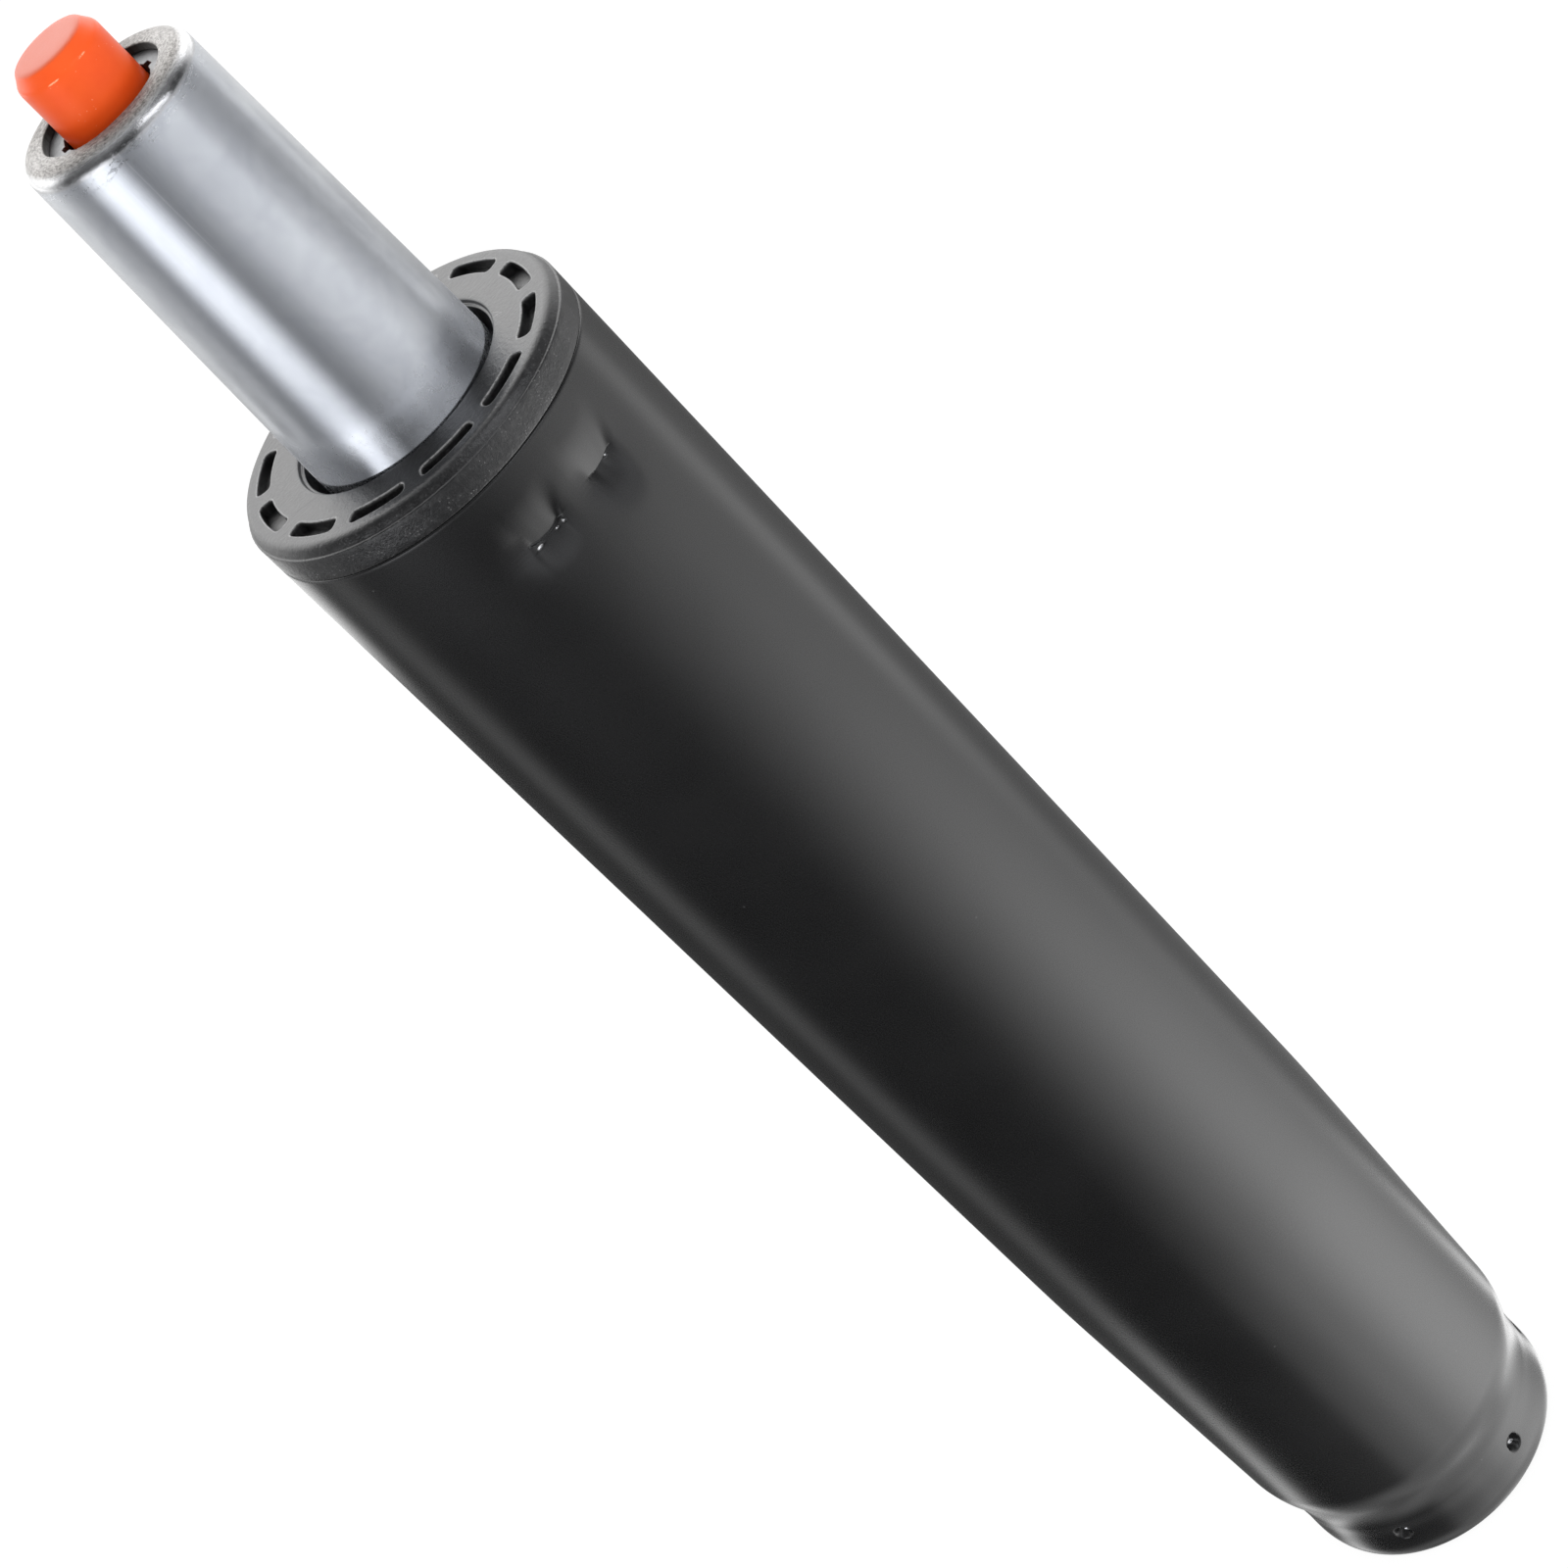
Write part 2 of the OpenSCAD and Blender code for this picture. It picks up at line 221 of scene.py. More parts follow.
class Tree:
    def __init__(self, owner):
        owner.use_nodes = True
        self.nt = owner.node_tree
        self.nt.nodes.clear()
        self._mm = None

    def node(self, kind, **props):
        n = self.nt.nodes.new(kind)
        for k, v in props.items():
            setattr(n, k, v)
        return n

    def put(self, socket, value):
        if isinstance(value, Val):
            self.nt.links.new(value.s, socket)
        elif isinstance(value, bpy.types.NodeSocket):
            self.nt.links.new(value, socket)
        else:
            socket.default_value = value

    def math(self, op, a, b):
        n = self.node("ShaderNodeMath", operation=op)
        self.put(n.inputs[0], a)
        self.put(n.inputs[1], b)
        return Val(self, n.outputs[0])

    def mm(self):
        """The object's own coordinates in millimetres."""
        if self._mm is None:
            c = self.node("ShaderNodeTexCoord")
            k = self.node("ShaderNodeVectorMath", operation="SCALE")
            self.put(k.inputs[0], c.outputs["Object"])
            k.inputs["Scale"].default_value = 1000.0
            self._mm = k.outputs[0]
            s = self.node("ShaderNodeSeparateXYZ")
            self.put(s.inputs[0], self._mm)
            self.x, self.y, self.z = (Val(self, s.outputs[i]) for i in range(3))
            self.r = self.math("SQRT", self.x * self.x + self.y * self.y, 0.0)
            self.phi = self.math("ARCTAN2", self.x, 0.0 - self.y) * (180.0 / math.pi)
        return self._mm

    def vec(self, x, y, z):
        n = self.node("ShaderNodeCombineXYZ")
        for i, v in enumerate((x, y, z)):
            self.put(n.inputs[i], v)
        return n.outputs[0]

    def noise(self, scale, detail=2.0, rough=0.5, at=None, warp=0.0):
        n = self.node("ShaderNodeTexNoise")
        self.put(n.inputs["Vector"], self.mm() if at is None else at)
        n.inputs["Scale"].default_value = scale
        n.inputs["Detail"].default_value = detail
        n.inputs["Roughness"].default_value = rough
        n.inputs["Distortion"].default_value = warp
        return Val(self, n.outputs["Fac"])

    def cells(self, scale, at=None, feature="F1"):
        n = self.node("ShaderNodeTexVoronoi", feature=feature)
        self.put(n.inputs["Vector"], self.mm() if at is None else at)
        n.inputs["Scale"].default_value = scale
        return Val(self, n.outputs["Distance"])

    def step(self, v, a, b, lo=0.0, hi=1.0):
        """Smooth step from lo at a to hi at b."""
        n = self.node("ShaderNodeMapRange", interpolation_type="SMOOTHSTEP")
        self.put(n.inputs["Value"], v)
        if a > b:
            a, b, lo, hi = b, a, hi, lo
        n.inputs["From Min"].default_value = a
        n.inputs["From Max"].default_value = b
        n.inputs["To Min"].default_value = lo
        n.inputs["To Max"].default_value = hi
        return Val(self, n.outputs["Result"])

    def blend(self, fac, a, b):
        """Colour a where fac is 0 and b where it is 1."""
        n = self.node("ShaderNodeMix", data_type="RGBA")
        self.put(n.inputs[0], fac)
        for s, c in ((n.inputs[6], a), (n.inputs[7], b)):
            self.put(s, (*c, 1.0) if isinstance(c, tuple) else c)
        return n.outputs[2]

    def attribute(self, name):
        return Val(self, self.node("ShaderNodeAttribute", attribute_name=name).outputs["Fac"])

    def bump(self, height, distance_mm, normal=None):
        n = self.node("ShaderNodeBump")
        n.inputs["Strength"].default_value = 1.0
        n.inputs["Distance"].default_value = distance_mm * MM
        self.put(n.inputs["Height"], height)
        if normal is not None:
            self.put(n.inputs["Normal"], normal)
        return n.outputs["Normal"]

    def surface(self, color, rough, metal=0.0, normal=None, spec=0.5, grooves=0.0):
        p = self.node("ShaderNodeBsdfPrincipled")
        self.put(p.inputs["Base Color"], (*color, 1.0) if isinstance(color, tuple) else color)
        self.put(p.inputs["Roughness"], rough)
        self.put(p.inputs["Metallic"], metal)
        p.inputs["Specular IOR Level"].default_value = spec
        if grooves > 0:  # turning grooves round the axis spread a highlight along it
            g = self.node("ShaderNodeTangent", direction_type="RADIAL", axis="Z")
            p.inputs["Anisotropic"].default_value = grooves
            p.inputs["Anisotropic Rotation"].default_value = 0.25
            self.put(p.inputs["Tangent"], g.outputs[0])
        if normal is not None:
            self.put(p.inputs["Normal"], normal)
        out = self.node("ShaderNodeOutputMaterial")
        self.put(out.inputs["Surface"], p.outputs[0])


def material(name):
    m = bpy.data.materials.new(name)
    return m, Tree(m)


# ---------------------------------------------------------------- materials


def powder_coat():
    m, t = material("powder_coat")
    t.mm()
    fine = t.noise(2.6, 2.0, 0.55)
    cloud = t.noise(0.05, 3.0, 0.5)
    speck = t.step(t.cells(0.16), 0.030, 0.014)
    wear_and_painted_highlight = t.attribute("wear_and_painted_highlight")
    steel = t.step(wear_and_painted_highlight, 0.35, 0.65)
    black = t.blend(t.step(cloud, 0.3, 0.7), (0.0088, 0.0088, 0.0092), (0.0112, 0.0112, 0.0116))
    black = t.blend(speck, black, (0.05, 0.05, 0.05))
    color = t.blend(steel, black, (0.62, 0.62, 0.63))
    rough = 0.275 + (fine - 0.5) * 0.06 + (cloud - 0.5) * 0.04 - steel * 0.06
    t.surface(color, rough, steel, t.bump(fine, 0.0034))
    return m


def bush_plastic():
    m, t = material("bush_plastic")
    t.mm()
    grain = t.noise(3.4, 3.0, 0.65)
    mottle = t.noise(1.5, 4.0, 0.65)
    cloud = t.noise(0.35, 3.0, 0.55)
    pit = t.cells(2.0)
    band = t.step(t.z, 247.32, 247.26) * t.step(t.z, 243.8, 243.9) * t.step(t.r, 24.6, 24.8)
    # glossy specks in the grain, most on the lower band; their lighter colour is a painted sparkle highlight
    specks_painted_sparkle = t.step(pit, 0.27, 0.12) * t.step(cloud, 0.44, 0.60) * (band * 0.65 + 0.35)
    # scuffs beside the hole and the faint flow line on the top face
    top = t.step(t.z, 248.70, 248.78)
    s1 = t.step(((t.phi - 80.5) + (t.r - 15.4) * 3.8).abs() * t.r, 9.0, 3.0) * t.step(t.r, 15.1, 15.5) * t.step(t.r, 17.2, 16.2)
    s2 = t.step(((t.phi - 74.5) + (t.r - 15.6) * 0.6).abs() * t.r, 8.0, 3.0) * t.step(t.r, 15.3, 15.7) * t.step(t.r, 17.6, 16.8)
    scuff = (s1 + s2) * top * t.step(t.noise(3.0, 2.0), 0.35, 0.6)
    flow = t.step(((t.phi + 70.0) + (t.r - 16.0) * 2.4 + (cloud - 0.5) * 6.0).abs() * t.r, 8.0, 2.0) * top * t.step(t.r, 15.2, 16.0) * t.step(t.r, 20.2, 19.6)
    # lighter grey along the slot rims: a painted highlight
    painted_rim_highlight = t.attribute("wear_and_painted_highlight")
    black = t.blend(t.step(cloud, 0.25, 0.75), (0.0050, 0.0050, 0.0054), (0.0105, 0.0105, 0.011))
    black = t.blend(t.step(mottle, 0.50, 0.66) * 0.7, black, (0.022, 0.022, 0.0225))
    black = t.blend(painted_rim_highlight * t.step(grain, 0.25, 0.55), black, (0.19, 0.19, 0.19))
    black = t.blend(flow * 0.5, black, (0.012, 0.012, 0.012))
    color = t.blend(scuff * 0.8, black, (0.20, 0.20, 0.20))
    # lighter colour of the specks: painted sparkle highlight
    color = t.blend(specks_painted_sparkle, color, (0.085, 0.085, 0.085))
    rough = 0.34 + (grain - 0.5) * 0.14 + (cloud - 0.5) * 0.08 - specks_painted_sparkle * 0.14 - painted_rim_highlight * 0.04
    t.surface(color, rough, 0.0, t.bump(grain + mottle * 1.5 + cloud * 0.6 + specks_painted_sparkle * 0.7 + scuff * 0.5 - flow * 0.4, 0.042), spec=0.7)
    return m


def zinc_steel():
    m, t = material("zinc_steel")
    t.mm()
    streak = t.noise(1.0, 3.0, 0.6, at=t.vec(t.phi * 0.9, t.z * 0.10, t.r * 0.4))
    lathe = t.noise(1.0, 2.0, 0.6, at=t.vec(t.phi * 0.02, t.z * 6.0, t.r * 6.0))
    cloud = t.noise(0.16, 4.0, 0.6, warp=0.6)
    fine = t.noise(6.0, 3.0, 0.6)
    worked = t.noise(1.0, 4.0, 0.68, at=t.vec(t.phi * 0.33, t.z * 3.6, t.r * 3.6))
    rolled = t.noise(1.0, 4.0, 0.65, at=t.vec(t.x * 0.9, t.y * 0.9, t.z * 2.2))
    lip = t.step(t.z, 298.9, 300.2)
    flat = t.step(t.z, 300.55, 301.25)
    burnt = t.step(t.z, 299.0, 299.5) * t.step(t.z, 300.85, 300.5)
    # inner wall of the hole in the lip made near black: painted shade
    bore_painted_shade = t.step(t.r, 9.22, 9.05) * t.step(t.z, 299.0, 300.0) * t.step(t.z, 301.42, 301.2)
    scrape = t.step(t.noise(1.0, 4.0, 0.7, at=t.vec(t.phi * 0.15, t.z * 1.5, t.r * 1.5)), 0.53, 0.66) * t.step(t.z, 296.6, 299.0) * t.step(t.z, 301.3, 300.2)
    low = t.step(t.z, 259.0, 250.0) * t.step(t.z, 240.0, 249.0)
    patch = t.step(t.noise(0.7, 4.0, 0.6, at=t.vec(t.phi * 0.30, t.z * 1.1, t.r)), 0.50, 0.66)
    scuff = patch * low
    spark = t.step(t.cells(2.2), 0.16, 0.06) * low
    # a fine line down the tube below the lip: a slight ridge in the bump, its lighter colour a painted highlight
    fine_line_painted_highlight = t.step((t.phi + 13.0 + (t.z - 299.6) * 0.03).abs() * t.r, 2.2, 1.0) * t.step(t.z, 272.0, 290.0) * t.step(t.z, 300.2, 299.6)
    base = t.blend(t.step(cloud, 0.3, 0.7), (0.555, 0.575, 0.61), (0.62, 0.64, 0.67))
    base = t.blend(scuff * 0.35, base, (0.46, 0.47, 0.49))
    base = t.blend(lip * 0.85, base, t.blend(t.step(worked, 0.35, 0.65), (0.34, 0.335, 0.33), (0.50, 0.50, 0.50)))
    base = t.blend(flat, base, t.blend(t.step(worked * 0.7 + fine * 0.3, 0.36, 0.62), (0.085, 0.080, 0.075), (0.270, 0.260, 0.250)))
    base = t.blend(burnt * 0.7, base, (0.60, 0.60, 0.605))
    # painted shade on the wall of the lip's hole
    base = t.blend(bore_painted_shade, base, (0.030, 0.028, 0.026))
    # the fine line's lighter colour is a painted highlight
    color = t.blend(fine_line_painted_highlight * 0.35 + spark * 0.4, base, (0.80, 0.80, 0.81))
    rough = 0.235 + (cloud - 0.5) * 0.06 + (streak - 0.5) * 0.04 + t.step(t.z, 262.0, 251.0) * 0.03 + scuff * 0.03 + scrape * (0.10 - burnt * 0.06) + lip * 0.02 - burnt * 0.035 + flat * 0.20 + bore_painted_shade * 0.25
    n = t.bump(streak + lathe * 0.8, 0.0022)
    n = t.bump(fine * (0.04 + flat * 0.6) + worked * (lip * 0.55 + flat * 1.5) + rolled * lip * (0.8 - burnt * 0.2) + scrape * (0.45 - burnt * 0.15) + scuff * 0.10 + spark * 0.12 + fine_line_painted_highlight * 0.06, 0.030, n)
    t.surface(color, rough, 1.0, n, grooves=0.85)
    return m


def cap_steel():
    m, t = material("cap_steel")
    t.mm()
    fine = t.noise(5.0, 4.0, 0.65)
    cloud = t.noise(0.5, 3.0, 0.6)
    edge = t.step(t.r, 7.2, 6.7)
    base = t.blend(t.step(cloud, 0.3, 0.7), (0.125, 0.127, 0.13), (0.175, 0.177, 0.18))
    base = t.blend(edge * t.step(fine, 0.45, 0.65), base, (0.12, 0.105, 0.095))
    t.surface(base, 0.42 + (fine - 0.5) * 0.2, 1.0, t.bump(fine, 0.012))
    return m


def button_plastic():
    m, t = material("button_plastic")
    t.mm()
    fine = t.noise(4.0, 3.0, 0.6)
    cloud = t.noise(0.25, 3.0, 0.55)
    wear_and_painted_highlight = t.attribute("wear_and_painted_highlight")
    base = t.blend(t.step(cloud, 0.3, 0.7), (0.86, 0.086, 0.008), (0.89, 0.100, 0.010))
    # the mould flash ridges get a lighter colour: a painted highlight
    base = t.blend(t.step(wear_and_painted_highlight, 0.35, 0.9) * t.step(fine, 0.40, 0.55), base, (0.95, 0.50, 0.28))
    dust = t.step(t.cells(1.7), 0.16, 0.07) * t.step(t.noise(0.28, 2.0, 0.5), 0.50, 0.62) * t.step(t.z, 309.4, 307.4)
    base = t.blend(dust * 0.55, base, (0.95, 0.42, 0.24))
    # top end given a darker red: painted shade that offsets the light the top face catches
    top_end_painted_shade = t.step(t.z, 309.9, 310.25)
    base = t.blend(top_end_painted_shade, base, (0.60, 0.077, 0.012))
    # darker towards the bottom where the button meets the lip: painted shade
    base = t.blend(t.step(t.z, 303.4, 301.6) * 0.30, base, (0.50, 0.030, 0.004))
    rough = 0.33 + (fine - 0.5) * 0.10 + (cloud - 0.5) * 0.08 + dust * 0.1 + top_end_painted_shade * 0.05
    t.surface(base, rough, 0.0, t.bump(fine + cloud * 0.6 + dust * 0.8, 0.008), spec=0.26)
    return m


def turned_metal(name, color, dark, rough, ring=8.0, grain=0.004):
    """Machined metal with turning marks that run round the axis."""
    m, t = material(name)
    t.mm()
    marks = t.noise(1.0, 3.0, 0.6, at=t.vec(t.phi * 0.012, t.z * ring, t.r * ring))
    cloud = t.noise(0.3, 3.0, 0.6)
    fine = t.noise(4.0, 3.0, 0.6)
    base = t.blend(t.step(cloud + (marks - 0.5) * 0.4, 0.3, 0.7), dark, color)
    t.surface(base, rough + (cloud - 0.5) * 0.10 + (marks - 0.5) * 0.08, 1.0, t.bump(marks + fine * 0.3, grain))
    return m


def dull(name, color, dark, rough, scale=3.0, grain=0.008):
    """Rubber or plastic with a fine grain and faint blotches."""
    m, t = material(name)
    t.mm()
    fine = t.noise(scale, 3.0, 0.6)
    cloud = t.noise(0.3, 3.0, 0.6)
    base = t.blend(t.step(cloud, 0.3, 0.7), dark, color)
    t.surface(base, rough + (fine - 0.5) * 0.12, 0.0, t.bump(fine + cloud * 0.4, grain))
    return m


MATS = {
    "powder_coat": powder_coat(),
    "bush_plastic": bush_plastic(),
    "zinc_steel": zinc_steel(),
    "cap_steel": cap_steel(),
    "button_plastic": button_plastic(),
    "plate_steel": turned_metal("plate_steel", (0.47, 0.48, 0.49), (0.36, 0.365, 0.37), 0.34, 5.0, 0.010),
    "bearing_steel": turned_metal("bearing_steel", (0.62, 0.63, 0.64), (0.54, 0.55, 0.56), 0.22, 10.0, 0.003),
    "ball_steel": turned_metal("ball_steel", (0.74, 0.75, 0.76), (0.68, 0.69, 0.70), 0.10, 2.0, 0.001),
    "cage_brass": turned_metal("cage_brass", (0.68, 0.48, 0.20), (0.56, 0.38, 0.15), 0.30, 6.0, 0.005),
    "washer_steel": turned_metal("washer_steel", (0.58, 0.59, 0.60), (0.47, 0.48, 0.50), 0.32, 7.0, 0.006),
    "rod_chrome": turned_metal("rod_chrome", (0.68, 0.69, 0.70), (0.62, 0.63, 0.645), 0.14, 12.0, 0.002),
    "clip_steel": turned_metal("clip_steel", (0.12, 0.12, 0.125), (0.07, 0.07, 0.075), 0.38, 6.0, 0.006),
    "piston_steel": turned_metal("piston_steel", (0.66, 0.67, 0.68), (0.58, 0.59, 0.60), 0.28, 7.0, 0.006),
    "nut_steel": turned_metal("nut_steel", (0.54, 0.55, 0.56), (0.45, 0.46, 0.48), 0.34, 5.0, 0.006),
    "sleeve_steel": turned_metal("sleeve_steel", (0.58, 0.59, 0.60), (0.50, 0.51, 0.52), 0.24, 9.0, 0.004),
    "valve_brass": turned_metal("valve_brass", (0.70, 0.52, 0.24), (0.60, 0.43, 0.18), 0.26, 8.0, 0.005),
    "buffer_rubber": dull("buffer_rubber", (0.022, 0.022, 0.022), (0.014, 0.014, 0.014), 0.70, 2.5, 0.012),
    "seal_rubber": dull("seal_rubber", (0.020, 0.020, 0.020), (0.012, 0.012, 0.012), 0.60, 4.0, 0.006),
    "band_plastic": dull("band_plastic", (0.78, 0.75, 0.66), (0.70, 0.67, 0.58), 0.50, 4.0, 0.006),
    "guide_plastic": dull("guide_plastic", (0.045, 0.045, 0.05), (0.03, 0.03, 0.033), 0.48, 4.0, 0.006),
}

for sub in frame["record"]["subparts"]:
    o = NODES[sub["node"]]
    o.data.materials.clear()
    o.data.materials.append(MATS[sub["material_slot"]])

# ---------------------------------------------------------------- outer tube

TUBE_R, TUBE_RI, TUBE_TOP, CONE_Z = 25.0, 23.0, 243.5, 72.0
NECK_R, NECK_RI, NECK_H, SH_Z = 21.7, 19.7, 9.5, 21.0
SH_R = TUBE_R - (CONE_Z - SH_Z) * SLOPE
SH_A = 2 * math.atan((SH_R - NECK_R) / (SH_Z - NECK_H))
SH_ARC = (SH_Z - NECK_H) / (2 * math.sin(SH_A))
CRIMPS = (3.0, 29.6, 183.0, 209.6)
CRIMP_Z = 232.9
STAKES = tuple(23.0 + 60.0 * k for k in range(6))
STAKE_Z = 6.9


def tube_r(z):
    """Outer radius of the tube above its rounded rim."""
    if z >= CONE_Z + 6:
        return TUBE_R
    if z > CONE_Z - 6:  # the taper runs out softly
        t = (CONE_Z + 6 - z) / 12.0
        return TUBE_R - 6.0 * SLOPE * t * t
    if z >= SH_Z:
        return TUBE_R - (CONE_Z - z) * SLOPE
    mid = (NECK_H + SH_Z) / 2
    if z >= mid:
        return SH_R - SH_ARC + math.sqrt(SH_ARC**2 - (SH_Z - z) ** 2)
    if z >= NECK_H:
        return NECK_R + SH_ARC - math.sqrt(SH_ARC**2 - (z - NECK_H) ** 2)
    return NECK_R - 0.05 * float(ease(z, 4.0, 7.0) - ease(z, 7.0, 9.5))


def crimp_depth(u, w, first):
    """Dent of a blade that was driven in along an edge: u along the edge, w above it."""
    w = w - 0.85 * ease(np.abs(u), 0.6, 4.4)  # the crease turns up at its ends
    up = np.clip(w, 0.0, 5.0)
    rest = 0.80 * np.exp(-(np.abs(u / 3.1) ** 4))
    if first:  # a ledge in the crease and a fold up from its right end
        face = ease(u, -8.0, -0.6) * (1.0 - ease(u, 2.2 - 0.40 * up, 3.2 + 0.70 * up))
        floor_, run, power = rest, 5.0, 2.0
        ends = ease(-u, 2.0, 3.4)
    else:  # a plain V that runs out softly at both ends
        face = ease(u, -7.0, -0.8) * (1.0 - ease(u, 1.0, 4.0 + 0.4 * up))
        floor_, run, power = 1.50 * np.exp(-(np.abs(u / 3.5) ** 4)), 8.0, 2.2
        ends = ease(-u, 2.3, 3.6) + ease(u, 2.4, 3.6)
    top = face + (1.0 - face) * rest
    crease = ease(u, -3.1, -2.2) * (1.0 - ease(u, 2.4, 3.2))
    low = floor_ * crease + top * (1.0 - crease)

    def vee(x):
        above = top * np.clip(1.0 - x / 6.6, 0.0, 1.0) ** 1.7
        t = ease(-x, 0.0, 0.24)
        return np.where(x >= 0, above, (1.0 - t) * top + t * low * np.clip(1.0 + x / run, 0.0, 1.0) ** power)

    worn = sum(vee(w + d) for d in (-1.8, -1.2, -0.6, 0.0, 0.6, 1.2, 1.8)) / 7.0
    soft = 0.32 * np.exp(-((u / 5.4) ** 2) - (w / 5.4) ** 2)
    return (0.84 if first else 0.95) * (vee(w) * (1.0 - ends) + worn * ends) + soft


def crimp_bare(u, w, first):
    """Bare metal where the blade tore the coat at the ends of the crease."""
    spots = ((-1.67, -0.55, 0.55, 0.17), (1.54, -0.40, 0.26, 0.12), (2.66, -0.25, 0.17, 0.26)) if first else ((1.75, -0.28, 0.22, 0.12),)
    return sum(np.exp(-(((u - a) / c) ** 2) - ((w - b) / d) ** 2) for a, b, c, d in spots)


def stake_depth(u, w):
    """Pit of a round punch: steep on the upper side, running out towards the rim."""
    q = np.hypot(u, w) + 1e-9
    lean = np.clip(-w / q, 0.0, 1.0)
    return 1.35 * (1.0 - ease(q, 0.72 - 0.10 * lean, 1.42 + 0.55 * lean)) + 0.06 * np.exp(-((q / 2.2) ** 2))


def skin(z, cols):
    """Radius and bare-metal mask along one ring of the tube's outer skin."""
    cut = np.zeros(len(cols))
    wear_and_painted_highlight = np.zeros(len(cols))
    if abs(z - CRIMP_Z) < 14:
        for k, c in enumerate(CRIMPS):
            u = np.radians(gap(cols, c)) * TUBE_R
            near = np.abs(u) < 14
            w = np.full(len(cols), z - CRIMP_Z)
            bare = crimp_bare(u, w, k % 2 == 0)
            cut += np.where(near, crimp_depth(u, w, k % 2 == 0) + 0.16 * bare, 0.0)
            wear_and_painted_highlight = np.maximum(wear_and_painted_highlight, bare)
    if z < 12:
        for c in STAKES:
            u = np.radians(gap(cols, c)) * NECK_R
            w = np.full(len(cols), z - STAKE_Z)
            cut += np.where(np.abs(u) < 6, stake_depth(u, w), 0.0)
            glint = np.exp(-(((u - 0.25) / 0.55) ** 2) - ((w + 0.78) / 0.22) ** 2)
            wear_and_painted_highlight = np.maximum(wear_and_painted_highlight, glint)
    return tube_r(z) - cut, wear_and_painted_highlight


def build_tube():
    s = Shape()
    base = even(160)

    def denser(centres, half, fine):
        keep = [a for a in base if min(abs(gap(a, c)) for c in centres) > half + 0.6 * fine]
        more = [(c + d) % 360.0 for c in centres for d in np.arange(-half, half + 1e-6, fine)]
        cols = []
        for a in sorted(keep + more):
            if not cols or a - cols[-1] > 0.5 * fine:
                cols.append(a)
        if cols[0] + 360.0 - cols[-1] < 0.5 * fine:
            cols.pop()
        return np.array(cols)

    low = denser(STAKES, 6.8, 0.4)
    high = denser(CRIMPS, 11.2, 0.4)

    rings = [s.ring(NECK_RI + 0.25, 0.0, low), s.ring(20.35, 0.0, low)]
    for a in np.linspace(0, 90, 12)[1:]:  # rounded rim
        z = 3.4 * (1 - math.cos(math.radians(a)))
        rings.append(s.ring(20.35 + (NECK_R - 20.35) * math.sin(math.radians(a)), z, low) if z < 3.39 else None)
    rings = [r for r in rings if r is not None]
    zs = np.concatenate([np.arange(3.4, 4.3, 0.3), np.arange(4.4, 9.61, 0.14), np.arange(9.9, 21.01, 0.555)])
    for z in zs:
        r, w = skin(z, low)
        rings.append(s.ring(r, z, low, w))
    s.loft(rings)
    a = rings[-1]
    plain = [s.ring(tube_r(z), z, base) for z in np.concatenate([np.linspace(23, 60, 8), np.linspace(64, 80, 9), np.linspace(90, 216, 15)])]
    s.zip(a, low, plain[0], base)
    s.loft(plain)
    zs = np.concatenate([
        np.arange(219, 227, 0.6), np.arange(227.2, 231.7, 0.25), np.arange(231.80, 233.75, 0.065),
        np.arange(233.9, 235.6, 0.2), np.arange(235.8, 240.2, 0.35), np.array([240.6, 241.4, 242.2, 242.9])])
    rings = []
    for z in zs:
        r, w = skin(z, high)
        rings.append(s.ring(r, z, high, w))
    s.zip(plain[-1], base, rings[0], high)
    s.loft(rings)
    edge = [s.ring(TUBE_R - 0.32 * (1 - math.cos(t)), TUBE_TOP - 0.32 * (1 - math.sin(t)), base) for t in np.radians([0, 18, 36, 54, 72, 90])]
    s.zip(rings[-1], high, edge[0], base)
    s.loft(edge)
    inside = [s.ring(r, z, base) for r, z in (
        (TUBE_RI + 0.15, TUBE_TOP), (TUBE_RI, TUBE_TOP - 0.15), (TUBE_RI, 200), (TUBE_RI, 150), (TUBE_RI, 110), (TUBE_RI, CONE_Z),
        (SH_R - 2, SH_Z), (SH_R - 2.25, SH_Z - 2.2), (NECK_RI + 0.7, NECK_H + 3.2), (NECK_RI + 0.12, NECK_H + 0.8), (NECK_RI, NECK_H), (NECK_RI, 4.0), (NECK_RI, 0.25))]
    s.band(edge[-1], inside[0])
    s.loft(inside)
    s.zip(inside[-1], base, s.ring(NECK_RI + 0.25, 0.0, low), low)
    return s.piece("tube_shell", "column", "outer_tube", MATS["powder_coat"])


# ---------------------------------------------------------------- guide bush

NP, NR = 20, 6  # points along and across one of the twelve sectors


